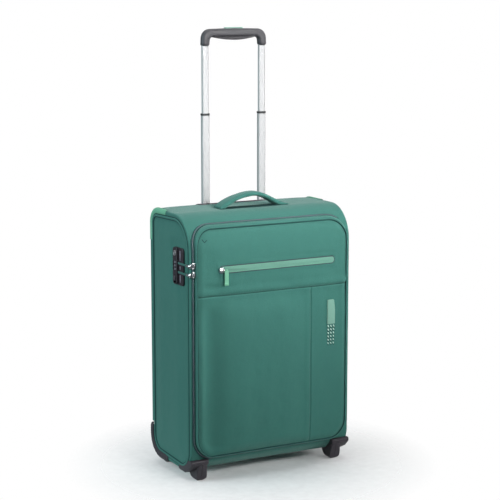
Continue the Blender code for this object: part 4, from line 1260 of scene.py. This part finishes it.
def make_pad(bar):
    """The finger pad under the bar: a bowed rubber pad with a grey plate set in its front and back."""
    low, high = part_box("grip_insert")
    half, end, steps = high.x, high.x - 0.006, 24

    def bowed(reach, depth, rise):
        shares = [-1 + 2 * step / steps for step in range(steps + 1)]
        return [(reach * share, bar - rise - depth * math.cos(math.pi * share / 2)) for share in shares]

    outline = [*bowed(half, high.z - low.z - 0.0012, 0.0012), (half, high.z), (-half, high.z)]
    pad = plate("grip_pad", outline, "Y", low.y, high.y, "pad", 0.0012)
    attach(pad, "handle_upper", "grip_plastic", "grip_insert")
    lens = [*bowed(end, 0.0022, 0.0022), (end, bar - 0.0021), (-end, bar - 0.0021)]
    for number, y in enumerate((low.y - 0.0003, high.y + 0.0003)):
        near, far = sorted((y, TUBE_Y))
        piece = plate(f"grip_plate_{number}", lens, "Y", near, far, "grip", 0.0003, 2)
        attach(piece, "handle_upper", "grip_plastic")


def make_tubes(side_name, side):
    """Rivets in an upper tube, and the collar on a lower one."""
    front_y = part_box("upper_tube_" + side_name)[0].y
    profile = [(0, -0.00016), (0.0010, -0.00012), (0.0014, 0.0002), (0, 0.0002)]
    places = [(side * TUBE_X, front_y, z) for z in (0.8640, 0.8750)]
    rivets = [lathe("rivet", profile, place, "Y", "steel", 20) for place in places]
    attach(joined("tube_rivets_" + side_name, rivets), "handle_upper", "aluminium_tube")
    node = "collar_" + side_name
    low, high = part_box(node)
    collar = prism("tube_collar_" + side_name, plan_of(node, 0.0, 0.0030, 8), "Z", low.z, high.z, "inner")
    soften(collar, 0.0008)
    cut(collar, prism("bore", plan_of("upper_tube_" + side_name, 0.0002, 0.0022), "Z", 0.7, 0.8, "inner"))
    attach(smoothed(collar), "handle_lower", "dark_plastic", node)


def make_bezel():
    low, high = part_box("handle_bezel")
    top = high.z + 0.0020
    corners = [(low.y, low.z, 0.0), (high.y, low.z, 0.0)]
    corners += [(high.y, top, BACK_TOP_RADIUS + 0.001), (low.y, top, 0.0)]
    bezel = soften(prism("handle_cup", rounded(corners, 16), "X", low.x, high.x, "black"), 0.0012)
    cup = rectangle(-0.0835, 0.0835, 0.0668, 0.0934, 0.006)
    cut(bezel, prism("grip_cup", cup, "Z", 0.5130, 0.7, "black"))
    for side_name, _ in SIDES:
        hole = plan_of("lower_tube_" + side_name, 0.0003, 0.0022)
        cut(bezel, prism("cup_hole", hole, "Z", 0.49, 0.53, "black"))
    attach(smoothed(bezel), "case", "dark_plastic", "handle_bezel")
    screws = [screw((x, high.y, 0.5125), "Y", 1) for x in (-0.045, 0.045)]
    attach(joined("handle_cup_screws", screws), "case", "dark_plastic")


def screw(place, axis, way):
    """A screw's head with a socket in it, that faces one way or the other along an axis."""
    radius = 0.0024
    profile = [(0, -0.001), (radius, -0.001), (radius, way * 0.0003), (radius * 0.8, way * 0.0007)]
    profile += [(radius * 0.45, way * 0.0007), (radius * 0.35, way * 0.0001), (0, way * 0.0001)]
    return lathe("screw", profile, place, axis, "steel", 20)


# ---- wheels, feet and guards


def mirrored(profile):
    return profile + [(r, -a) for r, a in reversed(profile)]


def make_wheel(side_name):
    low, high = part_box("tyre_" + side_name)
    middle = (low + high) / 2
    radius, half = (high.z - low.z) / 2, (high.x - low.x) / 2
    body = "wheel_" + side_name
    tread = [(0.0198, -half + 0.0012), (radius - 0.0062, -half), (radius - 0.0030, -half + 0.0004)]
    tread += [(radius - 0.0010, -half + 0.0022), (radius, -half + 0.0052), (radius, -0.0028)]
    tread += [(radius - 0.0011, -0.0022), (radius - 0.0011, -0.0014), (radius, -0.0008)]
    tyre = lathe("wheel_tyre_" + side_name, mirrored(tread), middle, "X", "rubber", 96)
    attach(tyre, body, "wheel_rubber", "tyre_" + side_name)
    profile = [(0.0033, -half), (0.0066, -half), (0.0074, -half + 0.0035), (0.0165, -half + 0.0048)]
    profile += [(0.0172, -half + 0.0012), (0.0195, -half + 0.0014)]
    pieces = [lathe("hub", mirrored(profile), middle, "X", "black", 64)]
    for n in range(6):
        c, s = math.cos(math.pi / 3 * n), math.sin(math.pi / 3 * n)
        for way in (-1, 1):
            near, far = sorted((way * (half - 0.0052), way * (half - 0.0016)))
            rib = prism("rib", rectangle(0.0062, 0.0174, -0.0011, 0.0011), "X", near, far, "black")
            for v in rib.data.vertices:
                x, y, z = v.co
                v.co = middle + Vector((x, y * c - z * s, y * s + z * c))
            pieces.append(rib)
    attach(joined("wheel_hub_ribs_" + side_name, pieces, 35), body, "dark_plastic", "hub_" + side_name)


def make_housing(side_name):
    node = "wheel_housing_" + side_name
    low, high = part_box(node)
    corners = [(low.y, low.z, 0.003), (high.y, low.z, BACK_LOW_RADIUS + 0.001), (high.y, high.z, 0.004)]
    corners += [(0.0720, high.z, 0.006), (low.y, 0.0620, 0.012)]
    housing = prism("wheel_corner_" + side_name, rounded(corners, 16), "X", low.x, high.x, "black")
    soften(housing, 0.0012, 2, 50)
    tyre_low, tyre_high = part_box("tyre_" + side_name)
    axle = (tyre_low + tyre_high) / 2
    start, length = (tyre_low.x - 0.002, axle.y, axle.z), tyre_high.x - tyre_low.x + 0.004
    cut(housing, rod("wheel_room", start, length, "X", 0.0335, "black", 64))
    attach(smoothed(housing), "case", "dark_plastic", node)
    screws = [screw((axle.x, 0.0370, low.z - 0.0002), "Z", -1)]
    screws += [screw((axle.x + x, high.y - 0.0002, 0.0830), "Y", 1) for x in (-0.013, 0.013)]
    attach(joined("wheel_corner_screws_" + side_name, screws), "case", "spring_steel")


def make_guard(side_name, side):
    """A moulded strip over a back bottom corner, wrapped round the case's edge, ribbed underneath."""
    node = "corner_guard_" + side_name
    low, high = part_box(node)
    loop = []
    for place in case_loop(0.004, 24):
        under = place[0] > low.y and place[1] < BOTTOM + 0.001
        if under or (place[0] > BACK - BACK_LOW_RADIUS and place[1] < high.z):
            loop.append(place)
    face = abs(low.x if side < 0 else high.x)
    section = [
        (face - 0.0006, 0.0124),
        (face, 0.0112),
        (face, 0.0016),
        (face - 0.0006, -0.0010),
        (face - 0.0020, -0.0026),
        (face - 0.0042, -0.0030),
        (face - 0.0072, -0.0029),
        (face - 0.0077, -0.0016),
        (face - 0.0070, 0.0004),
        (face - 0.0034, 0.0012),
        (face - 0.0032, 0.0124),
    ]
    size, count, core, ends = len(section), len(loop), 0.0045, (0.55, 0.86)
    points = []
    for n, (y, z, out_y, out_z) in enumerate(loop):
        end = min(n, count - 1 - n)
        shrink = ends[end] if end < len(ends) else 1.0
        for x, inset in section:
            depth = core + (inset - core) * shrink
            reach = HALF + (x - HALF) * (shrink if x > HALF else 1.0)
            points.append(Vector((side * reach, y - out_y * depth, z - out_z * depth)))
    faces = quads(count, size, False, True)
    faces += [tuple(range(size)), tuple(range((count - 1) * size, count * size))]
    guard = shaded(outward(add_mesh("edge_guard_" + side_name, points, faces, "black")), 50)
    attach(guard, "case", "dark_plastic", node)
    ribs, out = [], Vector((side, 0, 0))
    for y, z, out_y, out_z in [place for place in loop if place[1] < 0.050][2:-2:2]:
        a, b = (Vector((side * (face + 0.0001), y - out_y * d, z - out_z * d)) for d in (0.0108, 0.0012))
        ribs.append(sweep("rib", [a, a.lerp(b, 0.5), b], out, oval(0.0004, 0.0006, 8), "black"))
    attach(joined("edge_guard_ribs_" + side_name, ribs), "case", "dark_plastic")


def make_foot(side_name, side):
    """A front corner cap with a rounded, ridged leg."""
    low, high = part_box("foot_" + side_name)
    inner, outer = (low.x, high.x) if side > 0 else (high.x, low.x)
    outer -= side * 0.0016
    base, top = 0.0160, high.z
    corners = [(low.y, 0.0400, 0.0050), (-0.0780, 0.0270, 0.0100), (-0.0570, base, 0.0120)]
    corners += [(high.y, base, 0.0080), (high.y, 0.0280, 0.0030)]
    corners += [(-0.0600, 0.0365, 0.006), (-0.0720, top - 0.0002, 0.005), (low.y, top, 0.0040)]
    cap = prism("cap", rounded(corners, 12), "X", min(inner, outer), max(inner, outer), "black")
    turn = [(outer, base, 0.0055), (outer, 0.1, 0.0), (inner, 0.1, 0.0), (inner, base, 0.004)]
    keep(cap, prism("cap_turn", rounded(turn, 12), "Y", -0.2, 0.2, "black"))
    soften(cap, 0.0016, 3, 35)
    middle, half = side * 0.1600, 0.0120
    near, far = middle - half, middle + half
    corners = [(-0.0900, 0.0420, 0.0), (-0.0790, 0.0, 0.0120), (-0.0610, 0.0, 0.0110)]
    corners += [(-0.0400, 0.0240, 0.0), (-0.0600, 0.0420, 0.0)]
    leg = prism("leg", rounded(corners, 14), "X", near - 0.004, far + 0.004, "black")
    turn = [(near, 0.0, 0.0112), (far, 0.0, 0.0112), (far, 0.045, 0.0), (near, 0.045, 0.0)]
    keep(leg, prism("leg_turn", rounded(turn, 12), "Y", -0.2, 0.2, "black"))
    plan = rectangle(near + 0.0002, far - 0.0002, -0.0902, -0.0390, 0.0095, 10)
    keep(leg, prism("leg_plan", plan, "Z", -0.1, 0.1, "black"))
    soften(leg, 0.0020, 3, 35)
    line = [Vector((middle, -0.0790 - 0.0110 * z / 0.0420, z)) for z in lines(0.0110, 0.0380, 0.002)]
    ridge = sweep("ridge", line, FORWARD, oval(0.0008, 0.0011, 8), "black")
    foot = joined("corner_foot_" + side_name, [smoothed(cap), smoothed(leg), ridge], 40)
    attach(foot, "case", "dark_plastic", "foot_" + side_name)


# ---- the lock and the main sliders

DIALS = ("1", "2", "3")
THROUGH = -0.21
OUTSIDE = Vector((-1, 0, 0))


def make_lock():
    low, high = LOCK
    deck, face = -HALF - 0.0034, low.x
    step, back = -0.0440, high.y
    centre = middle_of("lock_dial_1").y
    key_low, key_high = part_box("lock_key_cylinder")
    key_z, key_radius = (key_low.z + key_high.z) / 2, (key_high.z - key_low.z) / 2
    release_low, release_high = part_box("lock_release")
    outline = rectangle(low.y, back, low.z, high.z, 0.0075, 10)
    base = soften(prism("lock_plate", outline, "X", deck, -HALF - 0.0002, "lock"), 0.0010)
    outline = rectangle(step, back - 0.0006, low.z + 0.0006, high.z - 0.0006, 0.0065, 10)
    raised = soften(prism("lock_body", outline, "X", face, -HALF - 0.0014, "lock"), 0.0014, 4)
    inner = block("lock_box", (deck + 0.002, -0.0600, 0.4140), (high.x, -0.0250, 0.4790), "inner")
    room = Vector((0.0004, 0.0004, 0.0004))
    for piece in (base, raised, inner):
        for number in DIALS:
            dial_low, dial_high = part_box("lock_dial_" + number)
            z, wide = (dial_low.z + dial_high.z) / 2, (dial_high.y - dial_low.y) / 2 + 0.0006
            corners = (THROUGH, centre - wide, z - 0.0026), (dial_high.x + 0.0006, centre + wide, z + 0.0026)
            cut(piece, block("dial_room", *corners, "inner"))
        start = (face - 0.01, centre, key_z)
        cut(piece, rod("key_room", start, 0.0215, "X", key_radius + 0.0003, "inner", 40))
        if piece != inner:
            corner = (THROUGH, release_low.y - 0.0004, 0.4112)
            cut(piece, block("release_room", corner, release_high + room, "inner"))
    case = joined("lock_case", [smoothed(base), smoothed(raised), smoothed(inner)], 40)
    attach(case, "case", "lock_plastic", "lock_housing")
    # Painted highlight: pale lilac lines down the lock's lower deck, broken where the pull tabs cross, for
    # the light caught on the raised part's edge; and two dark lips at the pulls' slots.
    trim = []
    for start, end in ((low.z + 0.006, 0.4300), (0.4398, 0.4490), (0.4588, high.z - 0.006)):
        path = [Vector((deck + 0.0002, -0.0520, z)) for z in lines(start, end, 0.01)]
        trim.append(sweep("trim", path, OUTSIDE, oval(0.0003, 0.0019, 8), "trim"))
    for z in (0.4350, 0.4520):
        corners = (deck - 0.0007, -0.0620, z - 0.0040), (deck + 0.0004, step - 0.0012, z - 0.0032)
        trim.append(block("slot_lip", *corners, "lock"))
    attach(joined("lock_painted_highlight", trim), "case", "lock_plastic")
    for number in DIALS:
        make_dial(number)
    profile = [(key_radius + 0.0003, 0.0), (key_radius + 0.0016, 0.0)]
    profile += [(key_radius + 0.0014, -0.0007), (key_radius + 0.0005, -0.0007)]
    attach(lathe("lock_key_ring", profile, (face, centre, key_z), "X", "steel", 40), "case", "lock_plastic")
    key = rod("lock_key", (key_low.x, centre, key_z), key_high.x - key_low.x, "X", key_radius, "steel", 40)
    corner = (THROUGH, centre - 0.0005, key_z - 0.0024)
    cut(key, block("key_slot", corner, (key_low.x + 0.0036, centre + 0.0005, key_z + 0.0024), "inner"))
    attach(smoothed(key), "key_cylinder", "spring_steel", "lock_key_cylinder")
    button = [brick("button", release_low, release_high, "lock", 0.0007)]
    for n in range(4):
        z = release_low.z + 0.003 + n * 0.002
        corner = (release_low.x - 0.0003, release_low.y + 0.0012, z)
        end = (release_low.x + 0.001, release_high.y - 0.0012, z + 0.0008)
        button.append(block("ridge", corner, end, "dial"))
    attach(joined("lock_button_ridges", button), "release", "dial_plastic", "lock_release")


def make_dial(number):
    """A ridged dial with ten short marks round it in place of figures."""
    low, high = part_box("lock_dial_" + number)
    middle, radius, half = (low + high) / 2, (high.y - low.y) / 2, (high.z - low.z) / 2
    bore, edge, steps, marks = 0.0013, 0.0006, 80, 10
    points = []
    for n in range(steps):
        turn = 2 * math.pi * n / steps
        rim = radius - (0.00035 if n % 8 in (0, 1) else 0.0)
        section = ((bore, -half), (rim - edge, -half), (rim, -half + edge))
        for r, a in (*section, *((r, -a) for r, a in reversed(section))):
            points.append(middle + Vector((r * math.cos(turn), r * math.sin(turn), a)))
    dial = outward(add_mesh("dial", points, quads(steps, 6, True, True), "dial"))
    pieces = [shaded(dial, 30)]
    for n in range(marks):
        turn = 2 * math.pi * (n + 0.5) / marks
        out, up = Vector((math.cos(turn), math.sin(turn), 0)), Vector((0, 0, 0.0011))
        here = middle + out * (radius - 0.0001)
        pieces.append(sweep("mark", [here - up, here, here + up], out, oval(0.0002, 0.00028, 6), "mark"))
    attach(joined("dial_ring_" + number, pieces), "dial_" + number, "dial_plastic", "lock_dial_" + number)


def pull_eye(centre, axis, radius, steps, section, skin):
    """The ring that a pull turns on, round an axis through centre."""
    turns = [2 * math.pi * n / steps for n in range(steps)]
    path = [centre + AXES[axis](radius * math.cos(t), radius * math.sin(t), 0) for t in turns]
    return sweep("eye", path, [(p - centre).normalized() for p in path], section, skin, True)


def make_main_slider(label):
    """A zip slider with a bridge, two ears and a pin, and the pull on that pin."""
    low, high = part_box("main_slider_" + label)
    z = middle_of("main_pull_" + label).z
    left, right = high.x - 0.0090, high.x
    middle = (left + right) / 2
    pivot = Vector((-HALF - 0.0025, -0.0940, z))
    outline = rectangle(left, right, z - 0.0060, z + 0.0060, 0.0036, 10)
    pieces = [plate("slider", outline, "Y", low.y + 0.0022, high.y, "chrome", 0.0007)]
    arc = ((0.0026, -0.0045), (0.0008, -0.0035), (0.0005, 0.0), (0.0008, 0.0035), (0.0026, 0.0045))
    bridge = [Vector((middle, low.y + depth, z + rise)) for depth, rise in arc]
    pieces.append(sweep("bridge", bridge, FORWARD, oval(0.0006, 0.0012, 8), "chrome"))
    for level in (-0.0044, 0.0044):
        ear = ((middle - 0.002, level), (pivot.x + 0.001, level), (pivot.x - 0.0008, level * 0.98))
        path = [Vector((x, pivot.y, z + rise)) for x, rise in ear]
        pieces.append(sweep("ear", path, FORWARD, oval(0.0011, 0.0005, 8), "chrome"))
    pieces.append(rod("pin", (pivot.x, pivot.y, z - 0.0044), 0.0088, "Z", 0.0007, "chrome", 16))
    slider = joined("main_slider_body_" + label, pieces, 40)
    attach(slider, "main_zip_" + label, "zip_metal", "main_slider_" + label)
    make_main_pull(label, pivot)


def make_main_pull(label, pivot):
    """A metal eye, a metal neck and a cloth-green tab that reaches the lock."""
    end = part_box("main_pull_" + label)[1].y
    x, z = pivot.x - 0.0019, pivot.z
    corners = (x - 0.0007, pivot.y + 0.0012, z - 0.0023), (x + 0.0007, -0.0800, z + 0.0023)
    neck = brick("neck", *corners, "chrome", 0.0005)
    tab = brick("tab", (x - 0.0010, -0.0815, z - 0.0022), (x + 0.0009, end, z + 0.0022), "thread", 0.0006)
    eye = pull_eye(pivot, "Z", 0.0020, 24, oval(0.0006, 0.0028, 8), "chrome")
    pull = joined("main_pull_body_" + label, [eye, neck, tab], 40)
    attach(pull, f"main_zip_{label}_pull", "zip_metal", "main_pull_" + label)


def make_pocket_slider():
    low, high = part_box("pocket_slider")
    pull_low, pull_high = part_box("pocket_pull")
    z, back = (low.z + high.z) / 2, high.y
    pivot = Vector((-0.1130, pull_high.y - 0.0020, pull_high.z - 0.0020))
    outline = rectangle(low.x, low.x + 0.0112, z - 0.0048, z + 0.0048, 0.0034, 10)
    body = plate("body", outline, "Y", back - 0.0032, back, "chrome", 0.0007)
    foot, crown = back - 0.0026, low.y + 0.0004
    arc = ((0.0018, foot), (0.0030, crown), (0.0085, crown), (0.0098, foot))
    path = [Vector((low.x + x, y, z)) for x, y in arc]
    bridge = sweep("bridge", path, FORWARD, oval(0.0005, 0.0012, 8), "chrome")
    pin = rod("pin", (pivot.x - 0.0070, pivot.y, pivot.z), 0.0105, "X", 0.0007, "chrome", 16)
    slider = joined("pocket_slider_body", [body, bridge, pin], 40)
    attach(slider, "pocket_zip", "zip_metal", "pocket_slider")
    half, neck, end = (pull_high.x - pull_low.x) / 2, pivot.z - 0.0014, pull_low.z
    left, right, face = pivot.x - half, pivot.x + half, pull_low.y
    corners = [(left, end, 0.0012), (right, end, 0.0012), (right, neck, 0.0018), (left, neck, 0.0018)]
    strap = plate("strap", rounded(corners, 6), "Y", face + 0.0005, face + 0.0018, "mint_plastic", 0.0004)
    outline = rectangle(left - 0.0002, right + 0.0002, end + 0.0002, end + 0.0060, 0.001)
    tip = plate("tip", outline, "Y", face + 0.0003, face + 0.0020, "mint_plastic", 0.0003, 2)
    outline = rectangle(left + 0.0014, right - 0.0014, end + 0.0085, pivot.z - 0.0036, 0.001)
    path = [Vector((x, face + 0.0006, up)) for x, up in outline]
    line = sweep("line", path, FORWARD, oval(0.00025, 0.0003, 6), "mint_plastic", True)
    eye = pull_eye(pivot, "X", 0.0015, 20, oval(0.0005, 0.0030, 8), "mint_plastic")
    pull = joined("pocket_pull_strap", [eye, strap, tip, line], 40)
    attach(pull, "pocket_zip_pull", "mint_plastic", "pocket_pull")


# ---- the inside


def make_lining():
    """The lining of the case's walls, with a flat back panel in front of the tow handle's tubes."""
    loop, xs = case_loop(0.008, 10), lines(-0.1795, 0.1795, 0.012, (-0.164, 0.164, -0.1275, 0.1275))
    points = []
    for y, z, out_y, out_z in loop:
        inner_y, inner_z = y - out_y * LINING_DEPTH, z - out_z * LINING_DEPTH
        points += [Vector((x, min(inner_y, LINING_BACK), inner_z)) for x in xs]
    walls = wrapped("lining_walls", loop, xs, points, in_mouth, 0.014, -0.0004, "lining")
    attach(face_out(walls, True), "case", "grey_lining")


def make_lining_side(side_name, side):
    """The lining of a side, and the cover over the wheel's corner inside it."""

    def measure(y, z):
        return side_distance(y, z) + LINING_DEPTH

    def place(y, z):
        swell = 0.0025 * ease(-measure(y, z), 0.0, 0.06) + wobble((side, y, z), 20, 0.0012, 9.0)
        return Vector((side * (0.1802 - swell), min(y, LINING_BACK), z))

    ys, zs = lines(RIM, BACK, 0.008), lines(BOTTOM, TOP, 0.010)
    sheet = trimmed("lining_side_" + side_name, ys, zs, measure, place, "lining")
    attach(face_out(sheet, True), "case", "grey_lining")
    low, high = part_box("wheel_housing_" + side_name)
    near, far = sorted((side * (abs(low.x if side > 0 else high.x) - 0.0030), side * 0.1800))
    top, front_y = high.z + 0.004, low.y - 0.003
    corners = [(front_y, 0.0262, 0.0), (0.0665, 0.0262, 0.0), (0.0665, top, 0.0)]
    corners += [(low.y + 0.012, top, 0.018), (front_y, 0.066, 0.018)]
    cover = prism("lining_wheel_" + side_name, rounded(corners, 8), "X", near, far, "lining")
    attach(smoothed(soften(cover, 0.004, 3, 50), 60), "case", "grey_lining")


def make_straps():
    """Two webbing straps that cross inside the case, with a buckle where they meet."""
    y, steps, thick, half = 0.0640, 24, 0.0011, 0.011
    section = [(thick, -half), (thick * 1.3, 0.0), (thick, half), (0.0, half), (0.0, -half)]
    for side_name, side in (("left", -1), ("right", 1)):
        for height, way in (("low", -1), ("high", 1)):
            path = []
            for share in [step / steps for step in range(steps + 1)]:
                x = side * (0.176 - 0.158 * share)
                z = 0.290 + way * (0.150 * (1 - share) + 0.002)
                sag = 0.0005 + 0.0030 * math.sin(math.pi * share) + wobble((x, 0, z), 30, 0.0008)
                path.append(Vector((x, y - sag, z)))
            length = sum((b - a).length for a, b in zip(path, path[1:]))
            strap = sweep(f"packing_strap_{side_name}_{height}", path, FORWARD, section, "webbing")
            attach(strap, "case", "grey_lining")
    buckle = brick("body", (-0.020, y - 0.0110, 0.272), (0.014, y - 0.0030, 0.308), "inner", 0.002, 3, 0.004)
    prong = brick("prong", (0.010, y - 0.0095, 0.276), (0.024, y - 0.0045, 0.304), "inner", 0.001, 3, 0.002)
    attach(joined("strap_buckle", [buckle, prong], 40), "case", "dark_plastic")


def make_binding(name, body, shape, lift, section):
    """Binding tape round a shape on the front."""
    tape = sweep(name, front_ring(shape, lift), front_outs(shape), section, "binding", True)
    attach(tape, body, "grey_lining")


def make_lid_inside():
    """The lid's lining with a mesh pocket, bound edges and a zip."""
    low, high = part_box("lid_board")
    half, top = high.x - 0.012, 0.478
    shape = (half, low.z + 0.020, top, 0.020)

    def measure(x, s):
        return distance(x, s, shape)

    def place(x, s):
        inside = -measure(x, s)
        sag = 0.0040 * ease(inside, 0.002, 0.06) + wobble((x, s, 3), 25, 0.0009, 5) * ease(inside, 0.0, 0.02)
        return front(x, s, 0.0004 - sag)

    xs, ss = lines(-half, half, 0.009), lines(shape[1], top, 0.009)
    pocket = trimmed("lid_mesh_pocket", xs, ss, measure, place, "mesh")
    attach(face_out(pocket, True), "lid", "grey_lining")
    make_binding("lid_pocket_binding", "lid", shape, 0.0004, oval(0.0010, 0.0050, 12))
    edge = (0.1700, 0.0630, 0.5180, 0.0340)
    make_binding("lid_edge_binding", "lid", edge, 0.0010, oval(0.0010, 0.0048, 12))
    path = [front(x, top - 0.012, -0.0016) for x in lines(-0.13, 0.13, 0.01)]
    attach(sweep("lid_pocket_zip", path, BACKWARD, oval(0.0009, 0.0020, 8), "teeth"), "lid", "zip_tape")


# ---- carried-over nodes and the stage

NODE_SKINS = {
    "upper_tube": "tube",
    "lower_tube": "tube",
    "guide_tube": "tube",
    "guide_base": "inner",
    "upper_latch": "inner",
    "lower_latch": "inner",
    "upper_pin": "steel",
    "lower_pin": "steel",
    "push_rod_frame": "steel",
    "axle": "steel",
    "dial_shaft": "steel",
    "opening_frame": "binding",
    "lid_board": "lining",
}


def dress_nodes():
    """Gives the frame's own nodes that still show a finished material."""
    for name, node in frame["nodes"].items():
        skin = next((skin for start, skin in NODE_SKINS.items() if name.startswith(start)), None)
        if skin and not node.hide_render:
            node.data.materials.clear()
            node.data.materials.append(SKINS[skin])


def area_light(name, place, target, size, power, colour=(1, 1, 1)):
    light = bpy.data.lights.new(name, "AREA")
    light.shape = "RECTANGLE"
    light.size, light.size_y = size
    light.energy = power
    light.color = colour
    obj = bpy.data.objects.new(name, light)
    obj.location = place
    obj.rotation_euler = (Vector(target) - Vector(place)).to_track_quat("-Z", "Y").to_euler()
    bpy.context.scene.collection.objects.link(obj)
    return obj


def make_world(scene):
    """A pale blue light from all round, and white where the camera sees past the floor."""
    world = bpy.data.worlds.new("studio")
    scene.world = world
    world.use_nodes = True
    tree = world.node_tree
    back = tree.nodes["Background"]
    back.inputs["Color"].default_value = (0.86, 0.93, 1.0, 1)
    back.inputs["Strength"].default_value = 0.16
    white = tree.nodes.new("ShaderNodeBackground")
    white.inputs["Color"].default_value = (1, 1, 1, 1)
    white.inputs["Strength"].default_value = 1.0
    path = tree.nodes.new("ShaderNodeLightPath")
    mix = tree.nodes.new("ShaderNodeMixShader")
    tree.links.new(path.outputs["Is Camera Ray"], mix.inputs[0])
    tree.links.new(back.outputs[0], mix.inputs[1])
    tree.links.new(white.outputs[0], mix.inputs[2])
    tree.links.new(mix.outputs[0], tree.nodes["World Output"].inputs[0])


def make_stage():
    scene = bpy.context.scene
    scene.view_settings.view_transform = "Standard"
    corners = [(-3.5, -3.0, 0), (4.0, -3.0, 0), (4.0, 4.5, 0), (-3.5, 4.5, 0)]
    floor = add_mesh("floor", corners, [(0, 1, 2, 3)], "floor")
    fade_floor(SKINS["floor"])
    make_world(scene)
    key = area_light("key", (0.36, -1.40, 1.10), (0.04, -0.05, 0.66), (1.0, 0.6), 4.7)
    key.data.spread = math.radians(56)
    area_light("top", (0.0, 0.25, 2.2), (0.0, 0.1, 0.3), (1.8, 1.4), 19)
    area_light("left", (-2.4, 0.30, 1.0), (0.0, 0.05, 0.35), (1.6, 1.6), 49, (0.74, 0.95, 1.0))
    strip = area_light("strip", (1.6, -2.6, 0.35), (0.0, 0.08, 0.75), (1.4, 1.2), 3.8)
    strip.visible_diffuse = False
    rake = area_light("rake", (2.2, -1.1, 0.50), (0.0, -0.1, 0.30), (0.9, 0.9), 32)
    rake.visible_glossy = False
    camera = bpy.data.cameras.new("camera")
    camera.lens, camera.sensor_width = 108.0, 36.0
    eye = bpy.data.objects.new("camera", camera)
    eye.location = (-1.4739, -2.7356, 0.9873)
    yaw, pitch = math.radians(28.263), math.radians(9.671)
    look = Vector((math.sin(yaw) * math.cos(pitch), math.cos(yaw) * math.cos(pitch), -math.sin(pitch)))
    eye.rotation_euler = look.to_track_quat("-Z", "Y").to_euler()
    scene.collection.objects.link(eye)
    scene.camera = eye


def fade_floor(skin):
    """The floor thins out towards its rim, into the white behind it."""
    tree = skin.node_tree
    shader, output = tree.nodes["Principled BSDF"], tree.nodes["Material Output"]
    place = tree.nodes.new("ShaderNodeTexCoord")
    length = tree.nodes.new("ShaderNodeVectorMath")
    length.operation = "LENGTH"
    spread = tree.nodes.new("ShaderNodeMapRange")
    spread.inputs["From Min"].default_value = 0.12
    spread.inputs["From Max"].default_value = 0.40
    clear = tree.nodes.new("ShaderNodeBsdfTransparent")
    mix = tree.nodes.new("ShaderNodeMixShader")
    tree.links.new(place.outputs["Object"], length.inputs[0])
    tree.links.new(length.outputs["Value"], spread.inputs["Value"])
    tree.links.new(spread.outputs[0], mix.inputs[0])
    tree.links.new(shader.outputs[0], mix.inputs[1])
    tree.links.new(clear.outputs[0], mix.inputs[2])
    tree.links.new(mix.outputs[0], output.inputs[0])


def main():
    SKINS.update(make_skins())
    make_stage()
    make_gusset()
    for side_name, side in SIDES:
        make_side(side_name, side)
    for side_name, side in SIDES:
        make_edges(side_name, side)
    make_zip()
    make_lid()
    make_lid_seams()
    make_pocket_zip()
    make_badge()
    make_hinge()
    for side_name, side in SIDES:
        make_mint_corner(side_name, side)
    make_carry_handle()
    make_grip()
    for side_name, side in SIDES:
        make_tubes(side_name, side)
    make_bezel()
    for side_name, _ in SIDES:
        make_wheel(side_name)
    for side_name, _ in SIDES:
        make_housing(side_name)
    for side_name, side in SIDES:
        make_guard(side_name, side)
    for side_name, side in SIDES:
        make_foot(side_name, side)
    make_lock()
    for label in ("upper", "lower"):
        make_main_slider(label)
    make_pocket_slider()
    make_lining()
    for side_name, side in SIDES:
        make_lining_side(side_name, side)
    make_straps()
    make_binding("mouth_binding", "case", MOUTH, -0.0004, oval(0.0011, 0.0042, 12))
    make_lid_inside()
    make_back()
    dress_nodes()


main()
